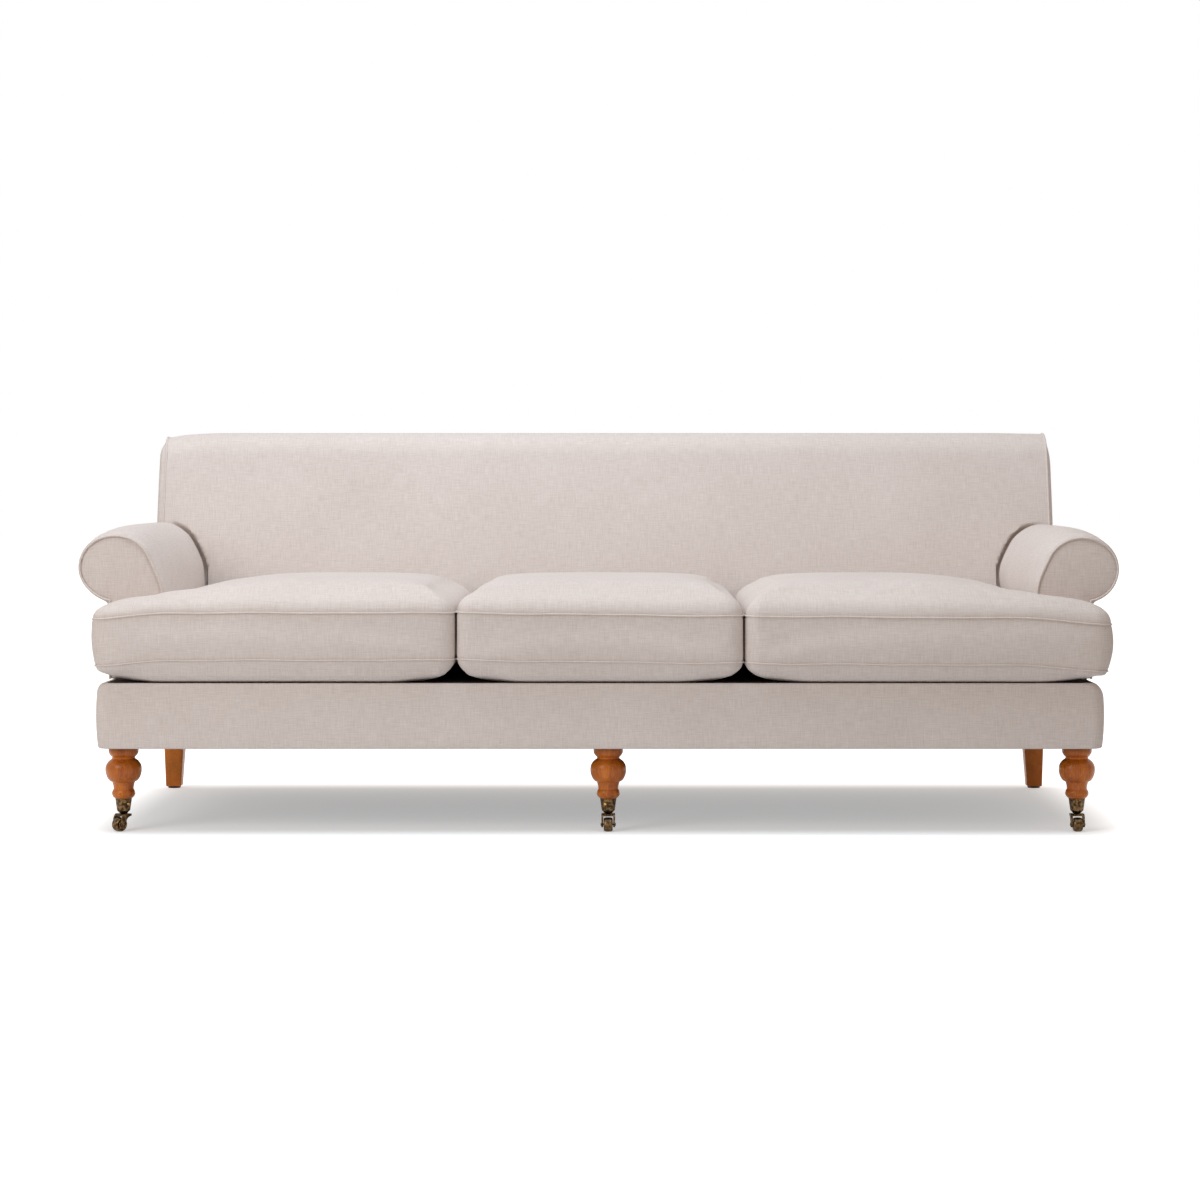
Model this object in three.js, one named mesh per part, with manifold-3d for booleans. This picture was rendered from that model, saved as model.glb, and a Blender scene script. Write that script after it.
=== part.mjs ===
// English roll arm sofa with three loose seat cushions, in millimetres, +Z up.
// The origin is on the floor at the middle of the sofa's width and depth, +Y towards the back.
// Left and right are as seen from the front, with +X to the right.

import * as THREE from 'three';
import { mergeVertices } from 'three/addons/utils/BufferGeometryUtils.js';
import Module from 'manifold-3d';

const wasm = await Module();
wasm.setup();

// Driving dimensions of the whole sofa
const overallWidth = 2232;
const overallDepth = 914;
const overallHeight = 855;
const legHeight = 178;
const borderHeight = 138;
const rollReach = 61;
const armWidth = 122;
const armSetback = 118;
const cushionOverhang = 25;
const rearLegReach = 46;

// Clearances
const seatGap = 0.3;
const cutOverrun = 2;
const cushionGap = 3;
const swivelGap = 0.5;
const axleGap = 0.4;

// Base border, dust cover and deck
const borderThickness = 10;
const borderSoftness = 3.5;
const baseCornerRadius = 30;
const dustCoverThickness = 1.6;
const deckThickness = 11.5;

// Seat timbers
const railThickness = 30;
const railHeight = 120;
const blockLeg = 88;
const blockHeight = 42;
const crossRailHeight = 70;
const centerBlockWidth = 100;
const centerBlockDepth = 74;

// Seat springs
const springWireRadius = 2;
const springHalfWidth = 24;
const tieWireRadius = 1.4;
const tieWireOverhang = 12;
const springsPerSeat = 4;
const loopsPerSpring = 12;
const springSpacingShare = 0.08;
const tieWireShare = 1 / 2;

// Arms
const armHeight = 307.7;
const rollRadiusX = 82;
const rollRadiusZ = 74;
const rollRise = 13;
const rollShoulderAngle = 155;
const innerStraightDrop = 144;
const armFacingThickness = 12;
const facingSoftness = 4;
const armPadding = 14;
const armPostThickness = 25;
const armRailWidth = 64;
const armRailHeight = 34;
const armRailCornerRadius = 10;
const armRearGap = 12;

// Back
const backFootDepth = 188;
const backShoulderDepth = 105;
const backShoulderDrop = 55;
const backBelly = 9;
const backCrestSetback = 70;
const backRearRoundHeight = 44;
const backEndSoftness = 18;
const backTopSetback = 26;
const backPanelThickness = 8;
const backPanelDrop = 49;
const backPanelInset = 10.6;
const backPostThickness = 30;
const backPostFootDepth = 84;
const backPostTopDepth = 52;
const backRailDepth = 30;
const backTopRailDrop = 65;
const backTopRailHeight = 62;
const backLowerRailLift = 17.7;
const backLowerRailHeight = 55;
const innerPostShare = 0.3644;

// Seat cushions
const middleCushionShare = 0.3237;
const earOverhang = 10;
const cushionSideLift = 27.7;
const cushionSideHeight = 126;
const cushionCrownHeight = 60;
const cushionSwellReach = 190;
const cushionEdgeStep = 14;
const cushionInnerStep = 88;
const cushionCoverThickness = 5;
const zipLength = 420;
const zipOpening = 2.4;

// Turned front legs: radii, and heights as shares of the turned length between the cup and the base
const frontLegInset = 48;
const frontLegSetback = 55;
const middleLegOffset = 17;
const collarRadius = 31.5;
const collarFaceHeight = 8;
const collarNeckRadius = 24;
const bulbLipRadius = 24.6;
const bulbRadius = 38.2;
const bulbFootRadius = 24.4;
const shankRadius = 21;
const beadRadius = 24.5;
const shoulderRadius = 18.3;
const turningShares = {
  bead: 0.0943, shank: 0.1775, bulbFoot: 0.3253, bulb: 0.5656, bulbTop: 0.769, collarNeck: 0.8059,
};
const studRadius = 4.5;
const studLength = 38;

// Wheels, yokes and axle pins
const wheelRadius = 15;
const wheelHalfWidth = 9.5;
const wheelTreadHalfWidth = 4;
const wheelShoulderRadius = 13.2;
const wheelHubRadius = 6.5;
const wheelDish = 1.6;
const wheelTrail = 11;
const wheelSideGap = 1;
const yokeHalfWidth = 14.5;
const yokeHeadGap = 2.5;
const yokeHeadThickness = 4.5;
const yokeBossRadius = 6.2;
const yokeHeadReach = 10;
const pintleRadius = 3.3;
const pintleLength = 18;
const pinRadius = 2.2;
const pinHeadRadius = 3.6;
const pinHeadHeight = 1.3;
const casterTurns = { left: -40, middle: 0, right: 0 };

// Caster cups and their screws
const cupTopRadius = 17.4;
const cupFootRadius = 13.8;
const cupBottomRadius = 7.5;
const cupFootLift = 6.5;
const cupFloorThickness = 4.5;
const cupHeight = 32.3;
const cupWall = 1.8;
const screwDrop = 11.3;
const screwHeadRadius = 3.4;
const screwHeadHeight = 1.6;
const screwShankRadius = 1.5;
const screwLength = 9;
const screwTurns = { left: 48, middle: -24, right: 118 };

// Rear legs and glides
const rearLegTopSize = 53;
const rearLegFootSize = 36;
const rearLegTopInset = 33;
const rearLegTopSetback = 44;
const rearLegSplay = 15;
const rearLegEdge = 4;
const glideRadius = 15;
const glideHeight = 4;

// Facets
const latheSides = 14;
const wheelSides = 16;
const smallSides = 10;
const wireSides = 3;
const arcSteps = 5;
const edgeSteps = 1;
const backEndSteps = 2;
const springStepsPerLoop = 3;
const legCurveSteps = 3;

// Places in plan, worked out from the sizes
const frontY = -overallDepth / 2;
const baseFrontY = frontY + cushionOverhang;
const baseRearY = overallDepth / 2 - rearLegReach;
const armFrontY = baseFrontY + armSetback;
const armBodyFrontY = armFrontY + armFacingThickness + seatGap;
const armRearY = baseRearY - armRearGap;
const baseHalf = overallWidth / 2 - rollReach;
const armInnerX = baseHalf - armWidth;
const rollCentreX = overallWidth / 2 - rollRadiusX;
const timberHalf = baseHalf - borderThickness - seatGap;
const timberFrontY = baseFrontY + borderThickness + seatGap;
const timberCornerRadius = baseCornerRadius - borderThickness - seatGap;
const frontRailRearY = timberFrontY + railThickness;
const cushionDivision = armInnerX * middleCushionShare;
const cushionEarReach = baseHalf + earOverhang;
const springSpacing = 2 * armInnerX * springSpacingShare;
const innerPostOffset = armInnerX * innerPostShare;
const middleLegX = middleLegOffset;
const legY = baseFrontY + frontLegSetback;
const legX = baseHalf - frontLegInset;

// Heights worked out from the sizes
const railBottom = legHeight + dustCoverThickness + seatGap;
const railTop = railBottom + railHeight;
const springZ = railTop + seatGap + springWireRadius;
const deckBottom = springZ + springWireRadius + seatGap;
const deckTop = deckBottom + deckThickness;
const borderTop = legHeight + borderHeight;
const upholsteryBottom = Math.max(borderTop, deckTop) + seatGap;
const rollTopZ = upholsteryBottom + armHeight;
const rollCentreZ = rollTopZ - rollRadiusZ;
const innerStraightTop = rollTopZ - innerStraightDrop;
const backShoulderZ = overallHeight - backShoulderDrop;
const backPanelTop = overallHeight - backPanelDrop;
const backTopRailTop = overallHeight - backTopRailDrop;
const backTopRailBottom = backTopRailTop - backTopRailHeight;
const backLowerRailBottom = upholsteryBottom + backLowerRailLift;
const cushionSideBottom = upholsteryBottom + cushionSideLift;
const cushionSideTop = cushionSideBottom + cushionSideHeight;
const cushionCrownTop = cushionSideTop + cushionCrownHeight;
const yokeHeadBottom = 2 * wheelRadius + yokeHeadGap;
const yokeHeadTop = yokeHeadBottom + yokeHeadThickness;
const cupBottom = yokeHeadTop + swivelGap;
const cupFloorTop = cupBottom + cupFloorThickness;
const shoulderZ = cupBottom + cupHeight;
const pintleTop = cupFloorTop + pintleLength;
const screwZ = shoulderZ - screwDrop;

// Rear faces of the raked back timbers, and the front faces of the back posts, at a height
const leanShare = backTopSetback / (overallHeight - legHeight);
const timberRearY = (z) => baseRearY - backPanelThickness - seatGap + (z - legHeight) * leanShare;
const postFrontY = (z) => {
  const share = (z - railBottom) / (backShoulderZ - railBottom);
  return timberRearY(z) - backPostFootDepth + (backPostFootDepth - backPostTopDepth) * share;
};
const backFootY = timberRearY(upholsteryBottom) - backFootDepth;
const backShoulderY = timberRearY(backShoulderZ) - backShoulderDepth;

// Finishes
function finish(color, roughness, metalness = 0) {
  return new THREE.MeshStandardMaterial({ color, roughness, metalness });
}

const linen = finish(0xd6cbc3, 0.92);
const deckCloth = finish(0x16120f, 0.95);
const dustCloth = finish(0x1d1b1a, 0.97);
const foam = finish(0xe8e0c4, 0.9);
const frameWood = finish(0xc9a877, 0.75);
const turnedWood = finish(0x9d5a30, 0.35);
const bronze = finish(0x5b4a37, 0.45, 0.85);
const brass = finish(0xb8955a, 0.35, 0.95);
const springSteel = finish(0x8d9094, 0.4, 0.9);
const glidePlastic = finish(0x1b1a19, 0.6);

// A closed solid from a three.js geometry, with its shared corners merged and its faces pointing out
function solid(geometry) {
  const plain = new THREE.BufferGeometry();
  plain.setAttribute('position', geometry.getAttribute('position').clone());
  if (geometry.index) plain.setIndex(geometry.index.clone());
  const merged = mergeVertices(plain);
  const vertProperties = Float32Array.from(merged.getAttribute('position').array);
  const corners = Array.from(merged.index.array);
  const triangles = [];
  for (let i = 0; i < corners.length; i += 3) {
    const [a, b, c] = corners.slice(i, i + 3);
    if (a !== b && b !== c && c !== a) triangles.push(a, b, c);
  }
  const triVerts = Uint32Array.from(facingOut(vertProperties, triangles));
  return new wasm.Manifold(new wasm.Mesh({ numProp: 3, vertProperties, triVerts }));
}

// The same triangles, turned over if together they enclose less than nothing
function facingOut(points, triangles) {
  const corner = (i) => new THREE.Vector3().fromArray(points, i * 3);
  let volume = 0;
  for (let i = 0; i < triangles.length; i += 3) {
    const [a, b, c] = triangles.slice(i, i + 3).map(corner);
    volume += a.dot(b.cross(c));
  }
  return volume < 0 ? triangles.slice().reverse() : triangles;
}

function cut(body, ...tools) {
  return tools.reduce((rest, tool) => rest.subtract(tool), body);
}

function join(body, ...others) {
  return others.reduce((whole, other) => whole.add(other), body);
}

// A named mesh of a solid, added to its group
function addPiece(group, name, body, material) {
  const { numProp, vertProperties, triVerts } = body.getMesh();
  const geometry = new THREE.BufferGeometry();
  const positions = new THREE.BufferAttribute(new Float32Array(vertProperties), numProp);
  geometry.setAttribute('position', positions);
  geometry.setIndex(new THREE.BufferAttribute(new Uint32Array(triVerts), 1));
  geometry.computeVertexNormals();
  const mesh = new THREE.Mesh(geometry, material);
  mesh.name = name;
  group.add(mesh);
  return mesh;
}

// The mirror image of a solid in the plane X = 0
function mirrored(body) {
  const { numProp, vertProperties, triVerts } = body.getMesh();
  const geometry = new THREE.BufferGeometry();
  const positions = new THREE.BufferAttribute(new Float32Array(vertProperties), numProp);
  geometry.setAttribute('position', positions);
  geometry.setIndex(new THREE.BufferAttribute(new Uint32Array(triVerts), 1));
  geometry.scale(-1, 1, 1);
  return solid(geometry);
}

// A left and a right piece, from the solid of the right one
function addPair(group, name, body, material) {
  addPiece(group, `left_${name}`, mirrored(body), material);
  addPiece(group, `right_${name}`, body, material);
}

function block(x0, x1, y0, y1, z0, z1) {
  const geometry = new THREE.BoxGeometry(x1 - x0, y1 - y0, z1 - z0);
  geometry.translate((x0 + x1) / 2, (y0 + y1) / 2, (z0 + z1) / 2);
  return solid(geometry);
}

// Extrusions of an outline along one axis, with edges rounded by a softness
function extruded(outline, length, softness, softSteps) {
  const rounding = {
    bevelThickness: softness, bevelSize: softness, bevelOffset: -softness, bevelSegments: softSteps,
  };
  const geometry = new THREE.ExtrudeGeometry(outline, {
    depth: length - 2 * softness,
    curveSegments: arcSteps,
    bevelEnabled: softness > 0,
    ...(softness > 0 ? rounding : {}),
  });
  return geometry.translate(0, 0, softness);
}

// An outline in X and Y, raised from one height to another
function raised(outline, z0, z1, softness = 0) {
  return solid(extruded(outline, z1 - z0, softness, edgeSteps).translate(0, 0, z0));
}

// An outline in X and Z, run from one depth to another
function runBack(outline, y0, y1, softness = 0) {
  return solid(extruded(outline, y1 - y0, softness, edgeSteps).rotateX(Math.PI / 2).translate(0, y1, 0));
}

// An outline in Y and Z, run across from one side to the other
function runAcross(outline, x0, x1, softness = 0) {
  const geometry = extruded(outline, x1 - x0, softness, backEndSteps);
  const turn = new THREE.Matrix4().makeBasis(
    new THREE.Vector3(0, 1, 0), new THREE.Vector3(0, 0, 1), new THREE.Vector3(1, 0, 0));
  return solid(geometry.applyMatrix4(turn).translate(x0, 0, 0));
}

// A profile of radius and height, turned about the Z axis
function turned(profile, sides = latheSides) {
  return new THREE.LatheGeometry(profile, sides).rotateX(Math.PI / 2);
}

// A plain round bar along Z
function bar(radius, z0, z1, sides = smallSides) {
  const geometry = new THREE.CylinderGeometry(radius, radius, z1 - z0, sides).rotateX(Math.PI / 2);
  return geometry.translate(0, 0, (z0 + z1) / 2);
}

function points(...pairs) {
  return pairs.map(([x, y]) => new THREE.Vector2(x, y));
}

// A closed body through rings of points, each ring flat and convex
function lofted(rings) {
  const sides = rings[0].length;
  const positions = rings.flat().flatMap((point) => point.toArray());
  const index = [];
  for (let r = 0; r + 1 < rings.length; r += 1) {
    for (let i = 0; i < sides; i += 1) {
      const a = r * sides + i;
      const b = r * sides + (i + 1) % sides;
      index.push(a, b, b + sides, a, b + sides, a + sides);
    }
  }
  const last = (rings.length - 1) * sides;
  for (let i = 1; i + 1 < sides; i += 1) {
    index.push(0, i + 1, i, last, last + i, last + i + 1);
  }
  const geometry = new THREE.BufferGeometry();
  geometry.setAttribute('position', new THREE.Float32BufferAttribute(positions, 3));
  geometry.setIndex(index);
  return solid(geometry);
}

// The plan of the base: square at the back, with rounded front corners
function basePlan(halfWidth, front, rear, radius) {
  const plan = new THREE.Shape();
  plan.moveTo(-halfWidth, rear);
  plan.lineTo(-halfWidth, front + radius);
  plan.absarc(-halfWidth + radius, front + radius, radius, Math.PI, 1.5 * Math.PI, false);
  plan.lineTo(halfWidth - radius, front);
  plan.absarc(halfWidth - radius, front + radius, radius, 1.5 * Math.PI, 2 * Math.PI, false);
  plan.lineTo(halfWidth, rear);
  plan.closePath();
  return plan;
}

// The border's wall in plan: round the front and both sides, open at the back
function borderPlan() {
  const inner = baseHalf - borderThickness;
  const innerRadius = baseCornerRadius - borderThickness;
  const cornerY = baseFrontY + baseCornerRadius;
  const cornerX = baseHalf - baseCornerRadius;
  const plan = new THREE.Shape();
  plan.moveTo(-baseHalf, baseRearY);
  plan.lineTo(-baseHalf, cornerY);
  plan.absarc(-cornerX, cornerY, baseCornerRadius, Math.PI, 1.5 * Math.PI, false);
  plan.lineTo(cornerX, baseFrontY);
  plan.absarc(cornerX, cornerY, baseCornerRadius, 1.5 * Math.PI, 2 * Math.PI, false);
  plan.lineTo(baseHalf, baseRearY);
  plan.lineTo(inner, baseRearY);
  plan.lineTo(inner, cornerY);
  plan.absarc(cornerX, cornerY, innerRadius, 2 * Math.PI, 1.5 * Math.PI, true);
  plan.lineTo(-cornerX, baseFrontY + borderThickness);
  plan.absarc(-cornerX, cornerY, innerRadius, 1.5 * Math.PI, Math.PI, true);
  plan.lineTo(-inner, baseRearY);
  plan.closePath();
  return plan;
}

// The right arm seen from the front: a straight wall on the base, and a roll that overhangs outwards
function armOutline(inset, bottom) {
  const radiusX = rollRadiusX - inset;
  const radiusZ = rollRadiusZ - inset;
  const outer = baseHalf - inset;
  const inner = armInnerX + inset;
  const neckAngle = -Math.acos((outer - rollCentreX) / radiusX);
  const shoulderAngle = THREE.MathUtils.degToRad(rollShoulderAngle);
  const shoulderX = rollCentreX + radiusX * Math.cos(shoulderAngle);
  const shoulderZ = rollCentreZ + radiusZ * Math.sin(shoulderAngle);
  const slopeShare = radiusZ * Math.cos(shoulderAngle) / (radiusX * Math.sin(shoulderAngle));
  const fall = (shoulderX - inner) * slopeShare;
  const outline = new THREE.Shape();
  outline.moveTo(inner, bottom);
  outline.lineTo(outer, bottom);
  outline.lineTo(outer, rollCentreZ + radiusZ * Math.sin(neckAngle));
  outline.absellipse(rollCentreX, rollCentreZ, radiusX, radiusZ, neckAngle, 0, false);
  outline.absellipse(rollCentreX, rollCentreZ, radiusX, radiusZ, 0, Math.PI / 2, false);
  outline.absellipse(rollCentreX, rollCentreZ, radiusX, radiusZ, Math.PI / 2, shoulderAngle, false);
  outline.quadraticCurveTo(inner, shoulderZ + fall, inner, innerStraightTop);
  outline.closePath();
  return outline;
}

// The arm's top rail seen from the front, with rounded corners
function armRailOutline(grow) {
  const halfWidth = armRailWidth / 2 + grow;
  const halfHeight = armRailHeight / 2 + grow;
  const radius = armRailCornerRadius + grow;
  const outline = new THREE.Shape();
  const corners = [[1, -1], [1, 1], [-1, 1], [-1, -1]];
  corners.forEach(([sideX, sideZ], i) => {
    const start = (i - 1) * Math.PI / 2;
    const centreX = rollCentreX + sideX * (halfWidth - radius);
    const centreZ = rollCentreZ + sideZ * (halfHeight - radius);
    outline.absarc(centreX, centreZ, radius, start, start + Math.PI / 2, false);
  });
  outline.closePath();
  return outline;
}

// The padded back seen from the side: a full front face, a round top and a raked rear face
function backOutline() {
  const crestY = backShoulderY + backCrestSetback;
  const middleZ = (upholsteryBottom + backShoulderZ) / 2;
  const bellyY = (backFootY + backShoulderY) / 2 - 2 * backBelly;
  const rearRoundZ = overallHeight - backRearRoundHeight;
  const rearY = timberRearY(rearRoundZ);
  const outline = new THREE.Shape();
  outline.moveTo(timberRearY(upholsteryBottom), upholsteryBottom);
  outline.lineTo(rearY, rearRoundZ);
  outline.quadraticCurveTo(rearY, overallHeight, crestY, overallHeight);
  outline.bezierCurveTo(
    (crestY + backShoulderY) / 2, overallHeight, backShoulderY, (overallHeight + backShoulderZ) / 2,
    backShoulderY, backShoulderZ);
  outline.quadraticCurveTo(bellyY, middleZ, backFootY, upholsteryBottom);
  outline.closePath();
  return outline;
}

// Everything behind the back's front face, which the arms are cut away for
function behindBackOutline(clearance) {
  const middleZ = (upholsteryBottom + backShoulderZ) / 2;
  const bellyY = (backFootY + backShoulderY) / 2 - 2 * backBelly;
  const outline = new THREE.Shape();
  outline.moveTo(backFootY - clearance, upholsteryBottom - cutOverrun);
  outline.lineTo(baseRearY + cutOverrun, upholsteryBottom - cutOverrun);
  outline.lineTo(baseRearY + cutOverrun, backShoulderZ);
  outline.lineTo(backShoulderY - clearance, backShoulderZ);
  outline.quadraticCurveTo(bellyY - clearance, middleZ, backFootY - clearance, upholsteryBottom);
  outline.closePath();
  return outline;
}

// A slice of the raked back frame between two heights, of a depth given at each
function backSlice(z0, z1, front, rear) {
  const outline = new THREE.Shape();
  outline.moveTo(front(z0), z0);
  outline.lineTo(rear(z0), z0);
  outline.lineTo(rear(z1), z1);
  outline.lineTo(front(z1), z1);
  outline.closePath();
  return outline;
}

// Seat timbers: four rails, a cross rail and the blocks that the legs' studs go into
function seatFrame() {
  const group = new THREE.Group();
  const railRearY = postFrontY(railTop);
  const backRailRearY = timberRearY(railBottom);
  const backRailFrontY = backRailRearY - railThickness;
  const innerHalf = timberHalf - railThickness;
  const frontRailPlan = basePlan(timberHalf, timberFrontY, frontRailRearY, timberCornerRadius);
  addPiece(group, 'front_seat_rail', raised(frontRailPlan, railBottom, railTop), frameWood);
  const backRailHalf = innerHalf - seatGap;
  const backSeatRail = block(-backRailHalf, backRailHalf, backRailFrontY, backRailRearY, railBottom, railTop);
  addPiece(group, 'back_seat_rail', backSeatRail, frameWood);
  const sideRail = block(innerHalf, timberHalf, frontRailRearY + seatGap, railRearY, railBottom, railTop);
  addPair(group, 'side_rail', cut(sideRail, backPost(seatGap)), frameWood);

  const blockFrontY = frontRailRearY + seatGap;
  const blockX = innerHalf - seatGap;
  const studHole = (x) => solid(bar(studRadius + seatGap, railBottom - cutOverrun,
    railBottom + blockHeight + cutOverrun).translate(x, legY, 0));
  const cornerPlan = new THREE.Shape(points(
    [blockX, blockFrontY], [blockX, blockFrontY + blockLeg], [blockX - blockLeg, blockFrontY]));
  const frontBlock = raised(cornerPlan, railBottom, railBottom + blockHeight);
  addPair(group, 'front_corner_block', cut(frontBlock, studHole(legX)), frameWood);
  const rearPlan = new THREE.Shape(points(
    [blockX, backRailFrontY - seatGap], [blockX, backRailFrontY - seatGap - blockLeg],
    [blockX - blockLeg, backRailFrontY - seatGap]));
  addPair(group, 'rear_corner_block', raised(rearPlan, railBottom, railBottom + blockHeight), frameWood);

  const centerRearY = blockFrontY + centerBlockDepth;
  const centerBlock = block(middleLegX - centerBlockWidth / 2, middleLegX + centerBlockWidth / 2,
    blockFrontY, centerRearY, railBottom, railBottom + blockHeight);
  addPiece(group, 'center_leg_block', cut(centerBlock, studHole(middleLegX)), frameWood);
  addPiece(group, 'center_cross_rail',
    block(-railThickness / 2, railThickness / 2, centerRearY + seatGap, backRailFrontY - seatGap,
      railBottom, railBottom + crossRailHeight), frameWood);
  return group;
}

// The timbers of both arms, and of the back, as solids that the padding is cut away for
const armPostFrontY = armBodyFrontY;
const armPostRearY = armPostFrontY + armPostThickness;
const postBottom = railTop + seatGap;

function armPost(grow) {
  const outline = armOutline(armPadding - grow, postBottom - grow);
  return runBack(outline, armPostFrontY - grow, armPostRearY + grow);
}

function armTopRail(grow) {
  const rearY = postFrontY(rollCentreZ - armRailHeight / 2) - seatGap;
  return runBack(armRailOutline(grow), armPostRearY + seatGap - grow, rearY + grow);
}

function backPost(grow) {
  const innerX = timberHalf - backPostThickness;
  const outline = backSlice(railBottom - grow, backTopRailTop + grow,
    (z) => postFrontY(z) - grow, (z) => timberRearY(z) + grow);
  return runAcross(outline, innerX - grow, timberHalf + grow);
}

function backRail(z0, height, grow) {
  const halfWidth = timberHalf - backPostThickness - seatGap + grow;
  const outline = backSlice(z0 - grow, z0 + height + grow,
    (z) => timberRearY(z) - backRailDepth - grow, (z) => timberRearY(z) + grow);
  return runAcross(outline, -halfWidth, halfWidth);
}

function innerPost(grow) {
  const z0 = backLowerRailBottom + backLowerRailHeight + seatGap;
  const outline = backSlice(z0 - grow, backTopRailBottom - seatGap + grow,
    (z) => timberRearY(z) - backPostTopDepth - grow, (z) => timberRearY(z) + grow);
  return runAcross(outline, innerPostOffset - backPostThickness / 2 - grow,
    innerPostOffset + backPostThickness / 2 + grow);
}

function upperFrame() {
  const group = new THREE.Group();
  addPair(group, 'arm_post', armPost(0), frameWood);
  addPair(group, 'arm_top_rail', armTopRail(0), frameWood);
  addPair(group, 'back_post', backPost(0), frameWood);
  addPair(group, 'inner_back_post', innerPost(0), frameWood);
  addPiece(group, 'back_top_rail', backRail(backTopRailBottom, backTopRailHeight, 0), frameWood);
  addPiece(group, 'back_lower_rail', backRail(backLowerRailBottom, backLowerRailHeight, 0), frameWood);
  return group;
}

// One sinuous spring, from the front rail to the back rail
function sinuousSpring(x) {
  const y0 = timberFrontY + railThickness / 2;
  const y1 = timberRearY(railTop) - railThickness / 2;
  const pitch = (y1 - y0) / loopsPerSpring;
  const path = [];
  for (let loop = 0; loop < loopsPerSpring; loop += 1) {
    const side = loop % 2 === 0 ? springHalfWidth : -springHalfWidth;
    const middle = y0 + (loop + 1 / 2) * pitch;
    path.push(new THREE.Vector3(x + side, middle - pitch / 4, springZ));
    path.push(new THREE.Vector3(x + side, middle + pitch / 4, springZ));
  }
  const section = new THREE.Shape(Array.from({ length: wireSides }, (_, i) => {
    const angle = i * 2 * Math.PI / wireSides;
    return new THREE.Vector2(springWireRadius * Math.cos(angle), springWireRadius * Math.sin(angle));
  }));
  return solid(new THREE.ExtrudeGeometry(section, {
    steps: springStepsPerLoop * loopsPerSpring,
    extrudePath: new THREE.CatmullRomCurve3(path),
    bevelEnabled: false,
  }));
}

// The springs under one seat, held side by side by their tie wire
function springUnit(centreX) {
  const y0 = timberFrontY + railThickness;
  const y1 = timberRearY(railTop) - railThickness;
  const firstX = centreX - (springsPerSeat - 1) * springSpacing / 2;
  const reach = (springsPerSeat - 1) * springSpacing / 2 + springHalfWidth + tieWireOverhang;
  const springs = [];
  for (let i = 0; i < springsPerSeat; i += 1) springs.push(sinuousSpring(firstX + i * springSpacing));
  const tieWire = bar(tieWireRadius, -reach, reach, smallSides / 2).rotateY(Math.PI / 2);
  const tieY = y0 + (y1 - y0) * tieWireShare;
  return join(solid(tieWire.translate(centreX, tieY, springZ)), ...springs);
}

function springs() {
  const group = new THREE.Group();
  addPair(group, 'seat_springs', springUnit((cushionDivision + armInnerX) / 2), springSteel);
  addPiece(group, 'middle_seat_springs', springUnit(0), springSteel);
  return group;
}

// Upholstery of the base: the border, the deck over the springs and the dust cover underneath
function baseCovers() {
  const group = new THREE.Group();
  addPiece(group, 'base_border', raised(borderPlan(), legHeight, borderTop, borderSoftness), linen);

  const rearY = timberRearY(legHeight);
  const underside = raised(basePlan(timberHalf, timberFrontY, rearY, timberCornerRadius),
    legHeight, legHeight + dustCoverThickness);
  const studHoles = [-legX, middleLegX, legX].map((x) =>
    solid(bar(studRadius + seatGap, legHeight - cutOverrun, railBottom).translate(x, legY, 0)));
  addPiece(group, 'dust_cover', cut(underside, ...studHoles), dustCloth);

  const deckFront = basePlan(timberHalf, timberFrontY, armFrontY - seatGap, timberCornerRadius);
  const deckRear = block(-armInnerX + seatGap, armInnerX - seatGap, armFrontY - seatGap - cutOverrun,
    timberRearY(deckBottom) - seatGap, deckBottom, deckTop);
  addPiece(group, 'seat_deck', join(raised(deckFront, deckBottom, deckTop), deckRear), deckCloth);
  return group;
}

// The arm's roll stands a little higher at the back than at the front
function withRise(body) {
  const { numProp, vertProperties, triVerts } = body.getMesh();
  const positions = Float32Array.from(vertProperties);
  const neckZ = rollCentreZ - rollRadiusZ;
  for (let i = 0; i < positions.length; i += numProp) {
    const alongShare = (positions[i + 1] - armFrontY) / (armRearY - armFrontY);
    const heightShare = Math.max(0, (positions[i + 2] - neckZ) / (rollTopZ - neckZ));
    positions[i + 2] += rollRise * alongShare * heightShare;
  }
  return new wasm.Manifold(new wasm.Mesh({ numProp, vertProperties: positions, triVerts }));
}

function arms() {
  const group = new THREE.Group();
  const whole = runBack(armOutline(0, upholsteryBottom), armBodyFrontY, armRearY);
  const behind = runAcross(behindBackOutline(seatGap), armInnerX - cutOverrun, baseHalf + seatGap);
  const openPost = armPost(seatGap);
  addPair(group, 'arm_upholstery', cut(withRise(whole), behind, openPost, armTopRail(seatGap)), linen);
  const facingRearY = armFrontY + armFacingThickness;
  const facing = runBack(armOutline(0, upholsteryBottom), armFrontY, facingRearY, facingSoftness);
  addPair(group, 'arm_facing', facing, linen);
  return group;
}

function back() {
  const group = new THREE.Group();
  const padding = runAcross(backOutline(), -baseHalf, baseHalf, backEndSoftness);
  const timbers = [
    backPost(seatGap), mirrored(backPost(seatGap)), innerPost(seatGap), mirrored(innerPost(seatGap)),
    backRail(backTopRailBottom, backTopRailHeight, seatGap),
    backRail(backLowerRailBottom, backLowerRailHeight, seatGap),
    armTopRail(seatGap), mirrored(armTopRail(seatGap)),
  ];
  addPiece(group, 'back_upholstery', cut(padding, ...timbers), linen);

  const panelFront = (z) => timberRearY(z) + seatGap;
  const panelRear = (z) => panelFront(z) + backPanelThickness;
  const panelHalf = baseHalf - backPanelInset;
  const panelOutline = backSlice(legHeight, backPanelTop, panelFront, panelRear);
  addPiece(group, 'outside_back_panel', runAcross(panelOutline, -panelHalf, panelHalf), linen);
  return group;
}

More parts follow.
